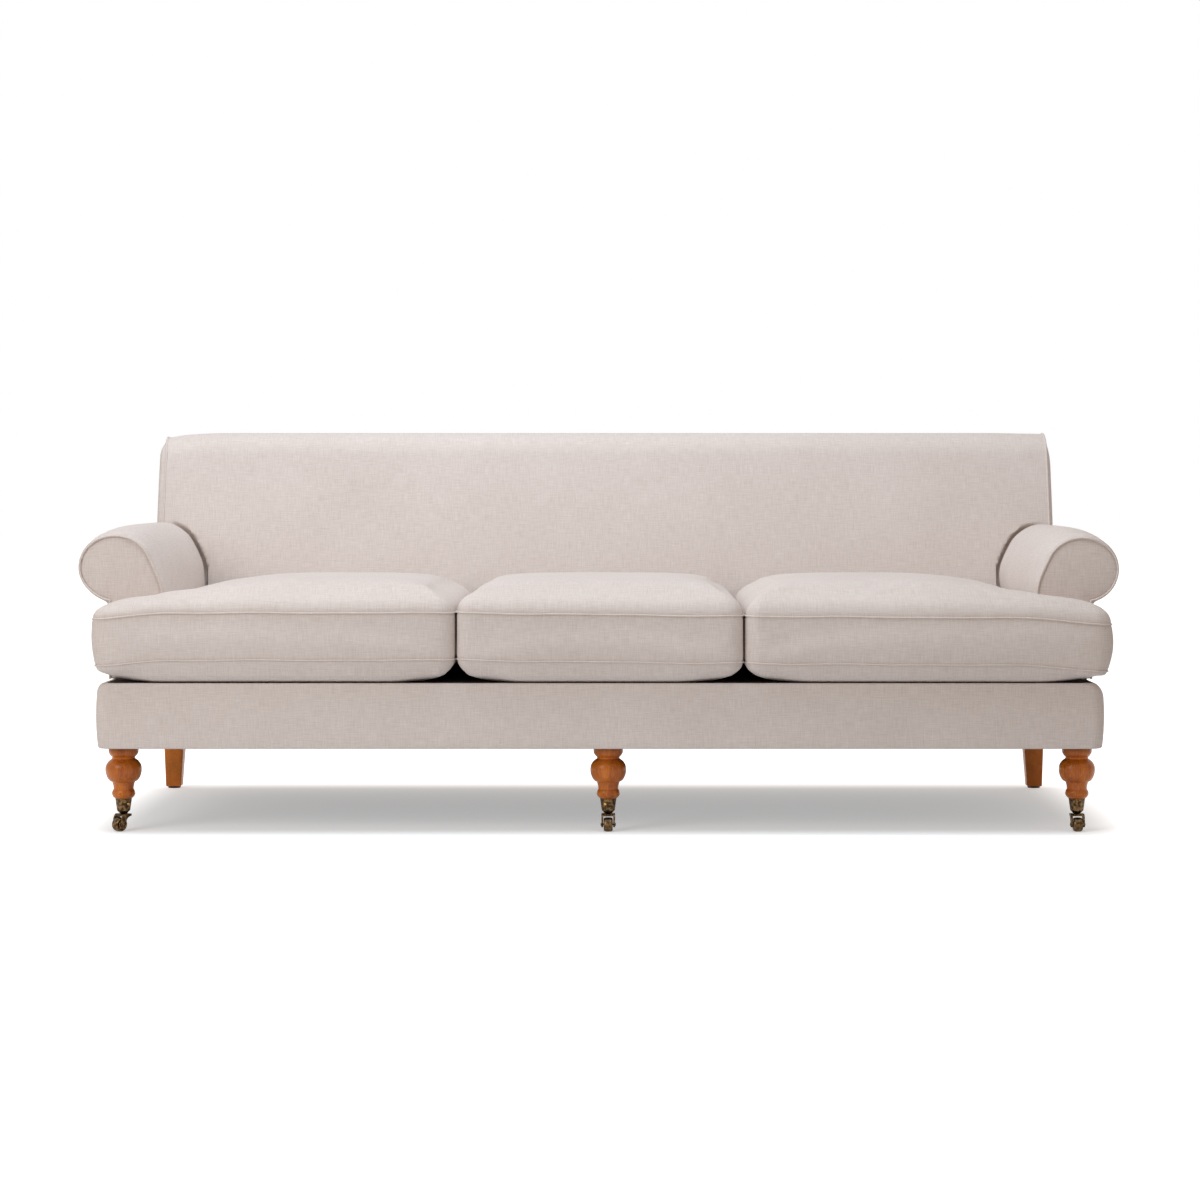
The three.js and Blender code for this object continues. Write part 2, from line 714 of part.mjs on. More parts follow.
// How deep a place lies inside a plan made of rectangles, measured from the plan's edge
function depthInPlan(x, y, plan) {
  const depths = plan.map(({ x0, x1, y0, y1 }) => Math.min(x - x0, x1 - x, y - y0, y1 - y));
  return Math.max(...depths);
}

// The lines of a cushion's grid between two edges: close together at the edges, wide apart in the middle
function gridLines(start, end) {
  const room = end - start;
  const inner = room > 4 * cushionInnerStep ? [cushionInnerStep] : [];
  const steps = [0, cushionEdgeStep, ...inner];
  const far = steps.map((step) => end - step).reverse();
  return [...steps.map((step) => start + step), start + room / 2, ...far];
}

// A crowned pad over a plan of rectangles, all its faces moved inwards by an inset
function crownedPad(plan, inset) {
  const inner = plan.map(({ x0, x1, y0, y1 }) => (
    { x0: x0 + inset, x1: x1 - inset, y0: y0 + inset, y1: y1 - inset }));
  const [main, ...ears] = inner;
  const inOrder = (values) => [...new Set(values)].sort((a, b) => a - b);
  const earLines = (end) => [end - cushionEdgeStep, end];
  const xs = inOrder([...gridLines(main.x0, main.x1), ...ears.flatMap(({ x1 }) => earLines(x1))]);
  const ys = inOrder([...gridLines(main.y0, main.y1), ...ears.flatMap(({ y1 }) => earLines(y1))]);
  const swell = (x, y) => {
    const share = Math.min(1, Math.max(0, depthInPlan(x, y, inner)) / cushionSwellReach);
    return 1 - (1 - share) ** 3;
  };
  const top = (x, y) => cushionSideTop - inset + (cushionCrownTop - cushionSideTop) * swell(x, y);
  const flatBottom = upholsteryBottom + inset;
  const bottom = (x, y) => {
    const fall = (cushionSideBottom - upholsteryBottom) * Math.min(1, 2 * swell(x, y));
    return Math.max(flatBottom, cushionSideBottom + inset - fall);
  };
  const filled = (i, j) => i >= 0 && j >= 0 && i + 1 < xs.length && j + 1 < ys.length
    && depthInPlan((xs[i] + xs[i + 1]) / 2, (ys[j] + ys[j + 1]) / 2, inner) > 0;
  const positions = [];
  const point = (i, j, height) => [xs[i], ys[j], height(xs[i], ys[j])];
  const face = (a, b, c, d) => positions.push(...a, ...b, ...c, ...a, ...c, ...d);
  for (let i = 0; i + 1 < xs.length; i += 1) {
    for (let j = 0; j + 1 < ys.length; j += 1) {
      if (!filled(i, j)) continue;
      face(point(i, j, top), point(i + 1, j, top), point(i + 1, j + 1, top), point(i, j + 1, top));
      face(
        point(i, j, bottom), point(i, j + 1, bottom), point(i + 1, j + 1, bottom), point(i + 1, j, bottom));
      const edges = [
        [i, j - 1, i, j, i + 1, j], [i + 1, j, i + 1, j, i + 1, j + 1],
        [i, j + 1, i + 1, j + 1, i, j + 1], [i - 1, j, i, j + 1, i, j],
      ];
      for (const [nextI, nextJ, ia, ja, ib, jb] of edges) {
        if (filled(nextI, nextJ)) continue;
        face(point(ia, ja, bottom), point(ib, jb, bottom), point(ib, jb, top), point(ia, ja, top));
      }
    }
  }
  const geometry = new THREE.BufferGeometry();
  geometry.setAttribute('position', new THREE.Float32BufferAttribute(positions, 3));
  return solid(geometry);
}

// A cushion's cover, open along its zip at the back, and the foam core inside it
function cushion(plan) {
  const [main] = plan;
  const middleX = (main.x0 + main.x1) / 2;
  const middleZ = (cushionSideTop + cushionSideBottom) / 2;
  const zip = block(middleX - zipLength / 2, middleX + zipLength / 2,
    main.y1 - cushionCoverThickness - cutOverrun, main.y1 + cutOverrun,
    middleZ - zipOpening / 2, middleZ + zipOpening / 2);
  const cover = cut(crownedPad(plan, 0), crownedPad(plan, cushionCoverThickness), zip);
  return { cover, core: crownedPad(plan, cushionCoverThickness + seatGap) };
}

function cushions() {
  const group = new THREE.Group();
  const rearY = backFootY - cushionGap;
  const middlePlan = [{
    x0: -cushionDivision + cushionGap / 2, x1: cushionDivision - cushionGap / 2, y0: frontY, y1: rearY,
  }];
  const sidePlan = [
    { x0: cushionDivision + cushionGap / 2, x1: armInnerX - cushionGap, y0: frontY, y1: rearY },
    { x0: cushionDivision + cushionGap / 2, x1: cushionEarReach, y0: frontY, y1: armFrontY - cushionGap },
  ];
  const middle = cushion(middlePlan);
  const side = cushion(sidePlan);
  addPair(group, 'cushion_cover', side.cover, linen);
  addPair(group, 'cushion_core', side.core, foam);
  addPiece(group, 'middle_cushion_cover', middle.cover, linen);
  addPiece(group, 'middle_cushion_core', middle.core, foam);
  return group;
}

// A turned leg, standing on its own axis: a stud into the base, collar, bulb, shank, bead, and the tapered
// end that the cup holds, bored for the caster's pintle
function turnedLeg() {
  const profile = new THREE.Path();
  const footZ = cupFloorTop + seatGap;
  const boreRadius = pintleRadius + 2 * seatGap;
  const innerTop = cupTopRadius - cupWall - seatGap;
  const innerFoot = cupFootRadius - cupWall - seatGap;
  const collarTop = legHeight - seatGap;
  const collarFaceZ = collarTop - collarFaceHeight;
  const [beadZ, shankZ, bulbFootZ, bulbZ, bulbTopZ, collarNeckZ] = Object.values(turningShares)
    .map((share) => shoulderZ + (legHeight - shoulderZ) * share);
  profile.moveTo(0, pintleTop + cutOverrun);
  profile.lineTo(boreRadius, pintleTop + cutOverrun);
  profile.lineTo(boreRadius, footZ);
  profile.lineTo(innerFoot, footZ);
  profile.lineTo(innerTop, shoulderZ);
  profile.lineTo(shoulderRadius, shoulderZ);
  profile.quadraticCurveTo(beadRadius, (shoulderZ + beadZ) / 2, beadRadius, beadZ);
  profile.quadraticCurveTo(beadRadius, (beadZ + shankZ) / 2, shankRadius, shankZ);
  profile.quadraticCurveTo(shankRadius, (shankZ + bulbFootZ) / 2, bulbFootRadius, bulbFootZ);
  profile.bezierCurveTo(
    (bulbRadius + bulbFootRadius) / 2, bulbFootZ, bulbRadius, (bulbFootZ + bulbZ) / 2, bulbRadius, bulbZ);
  profile.bezierCurveTo(
    bulbRadius, (bulbZ + bulbTopZ) / 2,
    (bulbRadius + bulbLipRadius) / 2, 2 * bulbTopZ - collarNeckZ, bulbLipRadius, bulbTopZ);
  profile.lineTo(collarNeckRadius, collarNeckZ);
  profile.quadraticCurveTo(collarRadius, (collarNeckZ + collarFaceZ) / 2, collarRadius, collarFaceZ);
  profile.lineTo(collarRadius, collarTop);
  profile.lineTo(studRadius, collarTop);
  profile.lineTo(studRadius, railBottom + studLength);
  profile.lineTo(0, railBottom + studLength);
  return solid(turned(profile.getPoints(legCurveSteps)));
}

function casterCup() {
  const outer = points([pintleRadius + seatGap, cupBottom], [cupBottomRadius, cupBottom],
    [cupFootRadius, cupBottom + cupFootLift], [cupTopRadius, shoulderZ - seatGap]);
  const inner = points([cupTopRadius - cupWall, shoulderZ - seatGap],
    [cupFootRadius - cupWall, cupFloorTop], [pintleRadius + seatGap, cupFloorTop]);
  return solid(turned([...outer, ...inner, outer[0]]));
}

// The cup's screw lies along Y, with its head to the front
function cupScrew(grow) {
  const seat = cupTopRadius - cupWall / 2;
  const shankEnd = seat - screwLength;
  const profile = points([0, shankEnd - grow], [screwShankRadius + grow, shankEnd - grow],
    [screwShankRadius + grow, seat], [screwHeadRadius, seat], [screwHeadRadius, seat + screwHeadHeight / 2],
    [screwHeadRadius / 2, seat + screwHeadHeight], [0, seat + screwHeadHeight]);
  return new THREE.LatheGeometry(profile, smallSides).rotateX(Math.PI).translate(0, 0, screwZ);
}

// The yoke under the cup: a head on a pintle and two cheeks that carry the wheel in front of the swivel axis
function yoke() {
  const slotHalf = wheelHalfWidth + wheelSideGap;
  const cheek = new THREE.Shape();
  cheek.moveTo(yokeHeadReach, yokeHeadTop);
  cheek.lineTo(-yokeHeadReach, yokeHeadTop);
  cheek.quadraticCurveTo(
    -wheelTrail - yokeBossRadius, yokeHeadBottom, -wheelTrail - yokeBossRadius, wheelRadius);
  cheek.absarc(-wheelTrail, wheelRadius, yokeBossRadius, Math.PI, 2 * Math.PI, false);
  cheek.quadraticCurveTo(
    -wheelTrail + yokeBossRadius, yokeHeadBottom - wheelDish, yokeHeadReach, yokeHeadBottom);
  cheek.closePath();
  const slot = block(-slotHalf, slotHalf, -wheelTrail - wheelRadius, yokeHeadReach + cutOverrun,
    -cutOverrun, yokeHeadBottom);
  const pinHole = solid(bar(pinRadius + seatGap, -yokeHalfWidth - cutOverrun, yokeHalfWidth + cutOverrun)
    .rotateY(Math.PI / 2).translate(0, -wheelTrail, wheelRadius));
  const pintle = solid(bar(pintleRadius, yokeHeadTop - cutOverrun / 2, pintleTop));
  return join(cut(runAcross(cheek, -yokeHalfWidth, yokeHalfWidth), slot, pinHole), pintle);
}

// A wheel and its axle pin, both along X
function wheel() {
  const bore = pinRadius + axleGap;
  const side = points([bore, wheelHalfWidth], [wheelHubRadius, wheelHalfWidth],
    [wheelHubRadius + wheelDish, wheelHalfWidth - wheelDish],
    [wheelShoulderRadius - 2 * wheelDish, wheelHalfWidth - wheelDish],
    [wheelShoulderRadius - wheelDish, wheelHalfWidth], [wheelShoulderRadius, wheelHalfWidth],
    [wheelRadius, wheelTreadHalfWidth]);
  const otherSide = side.map(({ x, y }) => new THREE.Vector2(x, -y)).reverse();
  return solid(turned([...side, ...otherSide, side[0]], wheelSides).rotateY(Math.PI / 2));
}

function axlePin() {
  const headSeat = yokeHalfWidth + seatGap;
  const end = headSeat + pinHeadHeight;
  const profile = points([0, -end], [pinHeadRadius, -end], [pinHeadRadius, -headSeat], [pinRadius, -headSeat],
    [pinRadius, headSeat], [pinHeadRadius, headSeat], [pinHeadRadius, end], [0, end]);
  return solid(turned(profile, smallSides).rotateY(Math.PI / 2));
}

// One front leg with its caster, turned on its swivel as the casters stand in use
function frontLeg(side, x) {
  const group = new THREE.Group();
  group.position.set(x, legY, 0);
  const screwTurn = THREE.MathUtils.degToRad(screwTurns[side]);
  const screwHole = solid(cupScrew(seatGap).rotateZ(screwTurn));
  addPiece(group, `${side}_front_leg`, cut(turnedLeg(), screwHole), turnedWood);
  addPiece(group, `${side}_caster_cup`, cut(casterCup(), screwHole), bronze);
  addPiece(group, `${side}_cup_screw`, solid(cupScrew(0).rotateZ(screwTurn)), brass);

  const swivel = new THREE.Group();
  swivel.rotation.z = THREE.MathUtils.degToRad(casterTurns[side]);
  addPiece(swivel, `${side}_caster_yoke`, yoke(), bronze);
  const axle = new THREE.Group();
  axle.position.set(0, -wheelTrail, wheelRadius);
  addPiece(axle, `${side}_caster_wheel`, wheel(), bronze);
  addPiece(axle, `${side}_axle_pin`, axlePin(), bronze);
  swivel.add(axle);
  group.add(swivel);
  return group;
}

// A square section with small flats on its edges
function squareRing(x, y, z, size) {
  const half = size / 2;
  const flat = half - rearLegEdge;
  const corners = [[half, -flat], [half, flat], [flat, half], [-flat, half],
    [-half, flat], [-half, -flat], [-flat, -half], [flat, -half]];
  return corners.map(([dx, dy]) => new THREE.Vector3(x + dx, y + dy, z));
}

// The rear legs taper, rake back and splay outwards a little, and stand on glides
function rearLegs() {
  const group = new THREE.Group();
  const topX = baseHalf - rearLegTopInset;
  const footX = topX + rearLegSplay;
  const topY = baseRearY - rearLegTopSetback;
  const footY = overallDepth / 2 - rearLegFootSize / 2;
  const leg = lofted([
    squareRing(footX, footY, glideHeight + seatGap, rearLegFootSize),
    squareRing(topX, topY, legHeight - seatGap, rearLegTopSize),
  ]);
  addPair(group, 'rear_leg', leg, turnedWood);
  const glide = solid(bar(glideRadius, 0, glideHeight).translate(footX, footY, 0));
  addPair(group, 'rear_glide', glide, glidePlastic);
  return group;
}

const sofa = new THREE.Group();
sofa.add(seatFrame(), upperFrame(), springs(), baseCovers(), arms(), back(), cushions());
sofa.add(frontLeg('left', -legX), frontLeg('middle', middleLegX), frontLeg('right', legX), rearLegs());
export default sofa;
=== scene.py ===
"""An english roll arm sofa with three loose seat cushions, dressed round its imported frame."""

import math

import bmesh
import bpy
import numpy as np
from mathutils import Matrix, Vector
from mathutils.kdtree import KDTree


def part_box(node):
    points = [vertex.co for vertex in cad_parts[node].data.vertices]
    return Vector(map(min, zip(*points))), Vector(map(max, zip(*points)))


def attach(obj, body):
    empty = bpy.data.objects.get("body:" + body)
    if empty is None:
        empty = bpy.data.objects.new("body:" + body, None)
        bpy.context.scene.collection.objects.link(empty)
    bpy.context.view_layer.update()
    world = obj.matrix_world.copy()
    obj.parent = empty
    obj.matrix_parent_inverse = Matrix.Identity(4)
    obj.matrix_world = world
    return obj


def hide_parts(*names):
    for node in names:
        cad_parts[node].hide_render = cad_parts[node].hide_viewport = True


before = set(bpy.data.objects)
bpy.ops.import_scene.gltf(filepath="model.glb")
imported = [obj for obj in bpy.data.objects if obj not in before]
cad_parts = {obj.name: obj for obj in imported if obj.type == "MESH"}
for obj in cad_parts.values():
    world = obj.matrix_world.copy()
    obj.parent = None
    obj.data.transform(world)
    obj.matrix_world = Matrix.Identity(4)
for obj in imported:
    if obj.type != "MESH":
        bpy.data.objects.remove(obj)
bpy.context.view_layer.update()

bl_info = {
    "name": "English roll arm sofa",
    "version": (1, 0, 0),
    "blender": (4, 5, 0),
    "location": "3D View > Sidebar > Sofa",
    "description": "Models and dresses an english roll arm sofa with turned legs and cup casters",
    "category": "Object",
}

MM = 0.001


def shade(code):
    """The linear colour of a six-digit colour code."""
    parts = [int(code[i : i + 2], 16) / 255 for i in (0, 2, 4)]
    return [p / 12.92 if p <= 0.04045 else ((p + 0.055) / 1.055) ** 2.4 for p in parts]


def node_low(name):
    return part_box(name)[0]


def node_high(name):
    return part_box(name)[1]


def amount(name, description, default, **more):
    return bpy.props.FloatProperty(name=name, description=description, default=default, **more)


def length(name, description, default):
    return amount(name, description, default, min=0, unit="LENGTH")


def colour(name, description, code):
    return bpy.props.FloatVectorProperty(
        name=name, description=description, default=shade(code), subtype="COLOR", min=0, max=1
    )


class SofaSizes(bpy.types.PropertyGroup):
    """Sizes of the upholstery that the frame leaves open"""

    upper_seam: length("Upper seam height", "Height of the cushions' upper seam", 464 * MM)
    lower_seam: length("Lower seam height", "Height of the cushions' lower seam", 366 * MM)
    crown: length("Crown", "Height of a cushion's top over its upper seam", 66 * MM)
    crown_reach: length("Crown reach", "How far in from the edge the crown keeps rising", 172 * MM)
    ear_crown: length("Ear crown", "Height of a cushion's ear over its upper seam", 42 * MM)
    ear_droop: length("Ear droop", "How far the seams drop at the end of an ear", 14 * MM)
    keel: length("Keel", "Depth of a cushion's bottom under its lower seam", 49 * MM)
    keel_reach: length("Keel reach", "How far in from the edge the bottom keeps falling", 46 * MM)
    plan_corner: length("Plan corner", "Radius of a cushion's corners in plan", 34 * MM)
    plan_guide: length("Plan guide", "Radius of the corners that the crown's curves follow", 62 * MM)
    swell_cap: length("Swell cap", "The furthest that the cloth moves as it fills", 6 * MM)
    cushion_voxel: length("Cushion voxel", "Size of the cloth's cells", 8 * MM)
    welt_radius: length("Welt radius", "Radius of the thin welts in the cushions' seams", 1.7 * MM)
    piping_radius: length("Piping radius", "Radius of the piping on the arms and back", 2.5 * MM)
    thread_pitch: length("Thread pitch", "Distance between two threads of the linen", 1.3 * MM)


class SofaColours(bpy.types.PropertyGroup):
    """Colours of the finishes"""

    linen: colour("Linen", "Natural oatmeal linen", "f3e9e3")
    linen_shadow: colour("Linen shadow", "The darker threads of the linen", "cebfb6")
    deck_cloth: colour("Deck cloth", "Black cloth under the seat cushions", "2b1e19")
    dust_cloth: colour("Dust cloth", "Black cloth under the base", "1d1b1a")
    turned_wood: colour("Turned wood", "Honey stained hardwood of the front legs", "d97d25")
    turned_wood_dark: colour("Turned wood grain", "Darker grain of the front legs", "964514")
    # Painted light: the rear legs' stain is painted lighter than the front legs' to make up for the shade
    # that falls on them under the back.
    rear_wood_lightened_for_shade: colour("Rear wood", "Stained hardwood of the rear legs", "ea8833")
    frame_wood: colour("Frame wood", "Raw hardwood of the frame", "c9a877")
    bronze: colour("Antique bronze", "Worn places of the casters", "8c6f4c")
    bronze_dark: colour("Bronze patina", "Dark patina of the casters", "35271a")
    brass: colour("Screw brass", "Brass of the cup screws", "c49a57")
    steel: colour("Spring steel", "Steel of the springs", "8d9094")
    glide: colour("Glide plastic", "Black plastic of the glides", "1b1a19")


class SofaStage(bpy.types.PropertyGroup):
    """Camera and studio light"""

    camera_distance: length("Camera distance", "From the camera to the middle of the sofa", 6.1)
    camera_height: length("Camera height", "Height of the camera over the floor", 0.735)
    lens: amount("Lens", "Focal length of the camera", 81.19, unit="CAMERA")
    camera_side: length("Camera side", "How far right of the middle the camera stands", 0.065)
    shift: bpy.props.FloatVectorProperty(
        name="Shift", description="Shift of the camera's frame", default=(-0.0258, -0.0978), size=2
    )
    key_power: amount("Key light", "Power of the soft light on the left", 39.5, unit="POWER")
    top_power: amount("Top light", "Power of the soft light overhead", 64.5, unit="POWER")
    world_strength: amount("Room light", "Strength of the light from all round", 0.35, min=0)


def sizes():
    return bpy.context.scene.sofa_sizes


def colours():
    return bpy.context.scene.sofa_colours


# Modelling helpers


def enter(mode):
    bpy.ops.object.mode_set(mode=mode)


def deselect_all():
    if bpy.context.object and bpy.context.object.mode != "OBJECT":
        enter("OBJECT")
    bpy.ops.object.select_all(action="DESELECT")


def activate(piece):
    deselect_all()
    piece.select_set(True)
    bpy.context.view_layer.objects.active = piece


def settle(piece):
    """Puts the piece's place, turn and size into its mesh."""
    activate(piece)
    bpy.ops.object.transform_apply(location=True, rotation=True, scale=True)


def start_box(name, low, high):
    """A box between two corners, ready to be shaped in edit mode."""
    deselect_all()
    centre = [(a + b) / 2 for a, b in zip(low, high)]
    bpy.ops.mesh.primitive_cube_add(size=1, location=centre)
    piece = bpy.context.object
    piece.name = piece.data.name = name
    piece.scale = [b - a for a, b in zip(low, high)]
    settle(piece)
    return piece


def start_line(name, path):
    """A line through points, drawn by extruding one corner, left in edit mode with all of it selected."""
    deselect_all()
    bpy.ops.mesh.primitive_plane_add(size=MM, location=path[0])
    piece = bpy.context.object
    piece.name = piece.data.name = name
    settle(piece)
    enter("EDIT")
    bpy.ops.mesh.select_mode(type="VERT")
    select_whole()
    bpy.ops.mesh.merge(type="CENTER")
    for here, there in zip(path, path[1:]):
        step = [b - a for a, b in zip(here, there)]
        bpy.ops.mesh.extrude_vertices_move(TRANSFORM_OT_translate={"value": step})
    select_whole()
    return piece


def select_whole():
    """Selects all of the mesh, in edit mode."""
    bpy.ops.mesh.select_all(action="SELECT")


def pick(kind, test):
    """Selects, in edit mode, the corners, edges or faces that pass a test of their own."""
    bpy.ops.mesh.select_mode(type=kind)
    bpy.ops.mesh.select_all(action="DESELECT")
    data = bpy.context.object.data
    mesh = bmesh.from_edit_mesh(data)
    for item in {"VERT": mesh.verts, "EDGE": mesh.edges, "FACE": mesh.faces}[kind]:
        item.select = bool(test(item))
    mesh.select_flush_mode()
    bmesh.update_edit_mesh(data)


def middle(item):
    """The middle of an edge or a face."""
    if isinstance(item, bmesh.types.BMFace):
        return item.calc_center_median()
    return (item.verts[0].co + item.verts[1].co) / 2


def along(edge, axis):
    """Whether an edge runs along an axis."""
    way = edge.verts[1].co - edge.verts[0].co
    return abs(way[axis]) > 0.99 * way.length


def move_region(step):
    bpy.ops.mesh.extrude_region_move(TRANSFORM_OT_translate={"value": step})


def tidy_shell():
    """Merges doubles and turns the faces outwards, in edit mode."""
    select_whole()
    bpy.ops.mesh.remove_doubles(threshold=0.01 * MM)
    bpy.ops.mesh.normals_make_consistent(inside=False)


def use_modifier(piece, kind, **settings):
    activate(piece)
    modifier = piece.modifiers.new(kind.lower(), kind)
    for key, value in settings.items():
        setattr(modifier, key, value)
    bpy.ops.object.modifier_apply(modifier=modifier.name)
    return piece


def smooth(piece, angle=40):
    activate(piece)
    bpy.ops.object.shade_smooth_by_angle(angle=math.radians(angle))
    return piece


def places_of(piece, what="co"):
    found = np.empty(len(piece.data.vertices) * 3)
    piece.data.vertices.foreach_get(what, found)
    return found.reshape(-1, 3)


def normals_of(piece):
    return places_of(piece, "normal")


def reshape(piece, places):
    piece.data.vertices.foreach_set("co", np.ascontiguousarray(places, float).ravel())
    piece.data.update()


def in_mm(points):
    """Points given in millimetres, in metres."""
    return [(a * MM, b * MM) for a, b in points]


def turned(name, profile, centre=(0, 0, 0), steps=48):
    """A profile of (radius, height) turned about an upright axis."""
    x, y, z = centre
    path = [(x + radius, y, z + height) for radius, height in profile]
    piece = start_line(name, path)
    bpy.ops.mesh.spin(steps=steps, angle=2 * math.pi, center=(x, y, 0), axis=(0, 0, 1))
    tidy_shell()
    enter("OBJECT")
    return piece


def filled(name, path):
    """A flat face inside a closed path, left in edit mode and selected."""
    piece = start_line(name, path)
    bpy.ops.mesh.edge_face_add()
    bpy.ops.mesh.select_mode(type="FACE")
    select_whole()
    return piece


def drawn_out(name, path, step):
    """A solid made by drawing a closed path's face out by a step, left in edit mode."""
    piece = filled(name, path)
    move_region(step)
    tidy_shell()
    return piece


def cut_away(piece, tool):
    """Takes a tool's shape out of a piece and removes the tool."""
    use_modifier(piece, "BOOLEAN", object=tool, operation="DIFFERENCE", solver="EXACT")
    bpy.data.objects.remove(tool)


def cut_across(place, way):
    """Cuts the whole mesh by a plane square to an axis, in edit mode, and keeps both sides."""
    select_whole()
    bpy.ops.mesh.bisect(plane_co=place, plane_no=way)


def cord_along(name, path, radius, closed=False, sides=3):
    """Round piping along a path."""
    piece = start_line(name, path)
    if closed:
        pick("VERT", lambda v: len(v.link_edges) == 1)
        bpy.ops.mesh.edge_face_add()
    enter("OBJECT")
    activate(piece)
    bpy.ops.object.convert(target="CURVE")
    piece = bpy.context.object
    piece.data.bevel_depth = radius
    piece.data.bevel_resolution = sides
    piece.data.use_fill_caps = not closed
    bpy.ops.object.convert(target="MESH")
    piece = bpy.context.object
    piece.name = piece.data.name = name
    return smooth(piece, 60)


def mirrored(piece):
    """Puts a piece on the other side of the sofa."""
    piece.scale = (-1, 1, 1)
    settle(piece)
    enter("EDIT")
    select_whole()
    bpy.ops.mesh.normals_make_consistent(inside=False)
    enter("OBJECT")
    return piece


def mirror_copy(piece, name):
    """The same piece on the other side of the sofa, with its own mesh."""
    activate(piece)
    bpy.ops.object.duplicate()
    twin = bpy.context.object
    twin.name = twin.data.name = name
    return mirrored(twin)


def weave_map(piece):
    """A UV map in metres, laid flat on each face from the side that it faces most."""
    mesh = piece.data
    layer = mesh.uv_layers.get("weave") or mesh.uv_layers.new(name="weave")
    corners = np.empty(len(mesh.loops), int)
    mesh.loops.foreach_get("vertex_index", corners)
    places = places_of(piece)[corners]
    facing = np.empty(len(mesh.polygons) * 3)
    mesh.polygons.foreach_get("normal", facing)
    totals = np.empty(len(mesh.polygons), int)
    mesh.polygons.foreach_get("loop_total", totals)
    main = np.repeat(np.abs(facing.reshape(-1, 3)).argmax(axis=1), totals)
    across = np.where(main == 0, places[:, 1], places[:, 0])
    up = np.where(main == 2, places[:, 1], places[:, 2])
    layer.data.foreach_set("uv", np.column_stack([across, up]).ravel())
    return piece


def dress(piece, material):
    piece.data.materials.clear()
    piece.data.materials.append(material)


def hand_over(piece, body, slot, replaced=()):
    """The piece gets its finish, with its map if it is cloth, rides on its body and stands for its nodes."""
    if slot in ("linen", "deck_cloth", "dust_cloth"):
        weave_map(piece)
    dress(piece, finishes()[slot])
    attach(piece, body)
    if replaced:
        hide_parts(*replaced)
    return piece


# Finishes


def new_finish(name):
    """An empty material with its node tree and shader."""
    material = bpy.data.materials.new(f"{name}_finish")
    material.use_nodes = True
    return material, material.node_tree, material.node_tree.nodes["Principled BSDF"]


def add(tree, kind, inputs=(), **settings):
    """A node whose inputs are given as values or as the sockets they come from."""
    node = tree.nodes.new(kind)
    for key, value in settings.items():
        setattr(node, key, value)
    for key, value in dict(inputs).items():
        if isinstance(value, bpy.types.NodeSocket):
            tree.links.new(value, node.inputs[key])
        else:
            node.inputs[key].default_value = value
    return node


def maths(tree, operation, first, second=0.0):
    return add(tree, "ShaderNodeMath", {0: first, 1: second}, operation=operation).outputs[0]


def scaled(tree, source, scale):
    mapping = add(tree, "ShaderNodeMapping", {"Vector": source, "Scale": scale})
    return mapping.outputs["Vector"]


def noise(tree, source, scale=1.0, detail=2.0, roughness=0.5):
    inputs = {"Vector": source, "Scale": scale, "Detail": detail, "Roughness": roughness}
    return add(tree, "ShaderNodeTexNoise", inputs).outputs["Fac"]


def tinted(tree, factor, dark, light):
    """A colour between two others."""
    mix = add(tree, "ShaderNodeMix", {"Factor": factor}, data_type="RGBA")
    mix.inputs[6].default_value = (*dark, 1)
    mix.inputs[7].default_value = (*light, 1)
    return mix.outputs[2]


def spread_out(tree, factor, low, high):
    inputs = {"Value": factor, "From Min": low, "From Max": high}
    return add(tree, "ShaderNodeMapRange", inputs).outputs["Result"]


def bumped(tree, shader, height, depth, strength):
    inputs = {"Height": height, "Distance": depth, "Strength": strength}
    bump = add(tree, "ShaderNodeBump", inputs)
    tree.links.new(bump.outputs["Normal"], shader.inputs["Normal"])


def painted(tree, shader, factor, dark, light):
    """Gives the shader a colour that varies between two others."""
    tree.links.new(tinted(tree, factor, dark, light), shader.inputs["Base Color"])


def set_values(shader, values):
    for key, value in values.items():
        shader.inputs[key].default_value = value


def object_place(tree):
    return add(tree, "ShaderNodeTexCoord").outputs["Object"]


def woven(name, dark, light, pitch, slub, depth, sheen):
    """A plain weave with slubbed threads, laid by the piece's own UV map in metres."""
    material, tree, shader = new_finish(name)
    cloth = add(tree, "ShaderNodeUVMap", uv_map="weave").outputs["UV"]
    sums = []
    for thin, long in ((1 / pitch, 45), (420, 28)):
        across = noise(tree, scaled(tree, cloth, (thin, long, 1)), detail=3)
        up = noise(tree, scaled(tree, cloth, (long, thin, 1)), detail=3)
        sums.append(maths(tree, "ADD", across, up))
    threads, streaks = sums
    mottle = noise(tree, object_place(tree), scale=5.5, detail=4)
    both = maths(tree, "ADD", threads, maths(tree, "MULTIPLY", streaks, slub))
    toned = maths(tree, "ADD", both, maths(tree, "MULTIPLY", mottle, 0.5))
    centre = 1 + slub + 0.25
    width = 0.6 + slub / 4
    factor = spread_out(tree, toned, centre - width, centre + width)
    painted(tree, shader, factor, dark, light)
    parts = add(tree, "ShaderNodeSeparateXYZ", {"Vector": cloth})
    turn = math.pi / pitch
    waves = [
        maths(tree, "SINE", maths(tree, "MULTIPLY", parts.outputs[axis], turn)) for axis in ("X", "Y")
    ]
    weave = maths(tree, "MULTIPLY", *waves)
    height = maths(tree, "ADD", weave, maths(tree, "MULTIPLY", both, 1.6))
    bumped(tree, shader, height, depth, 0.7)
    set_values(shader, {"Roughness": 0.92, "Sheen Weight": sheen, "Sheen Roughness": 0.5})
    set_values(shader, {"Specular IOR Level": 0.25})
    return material


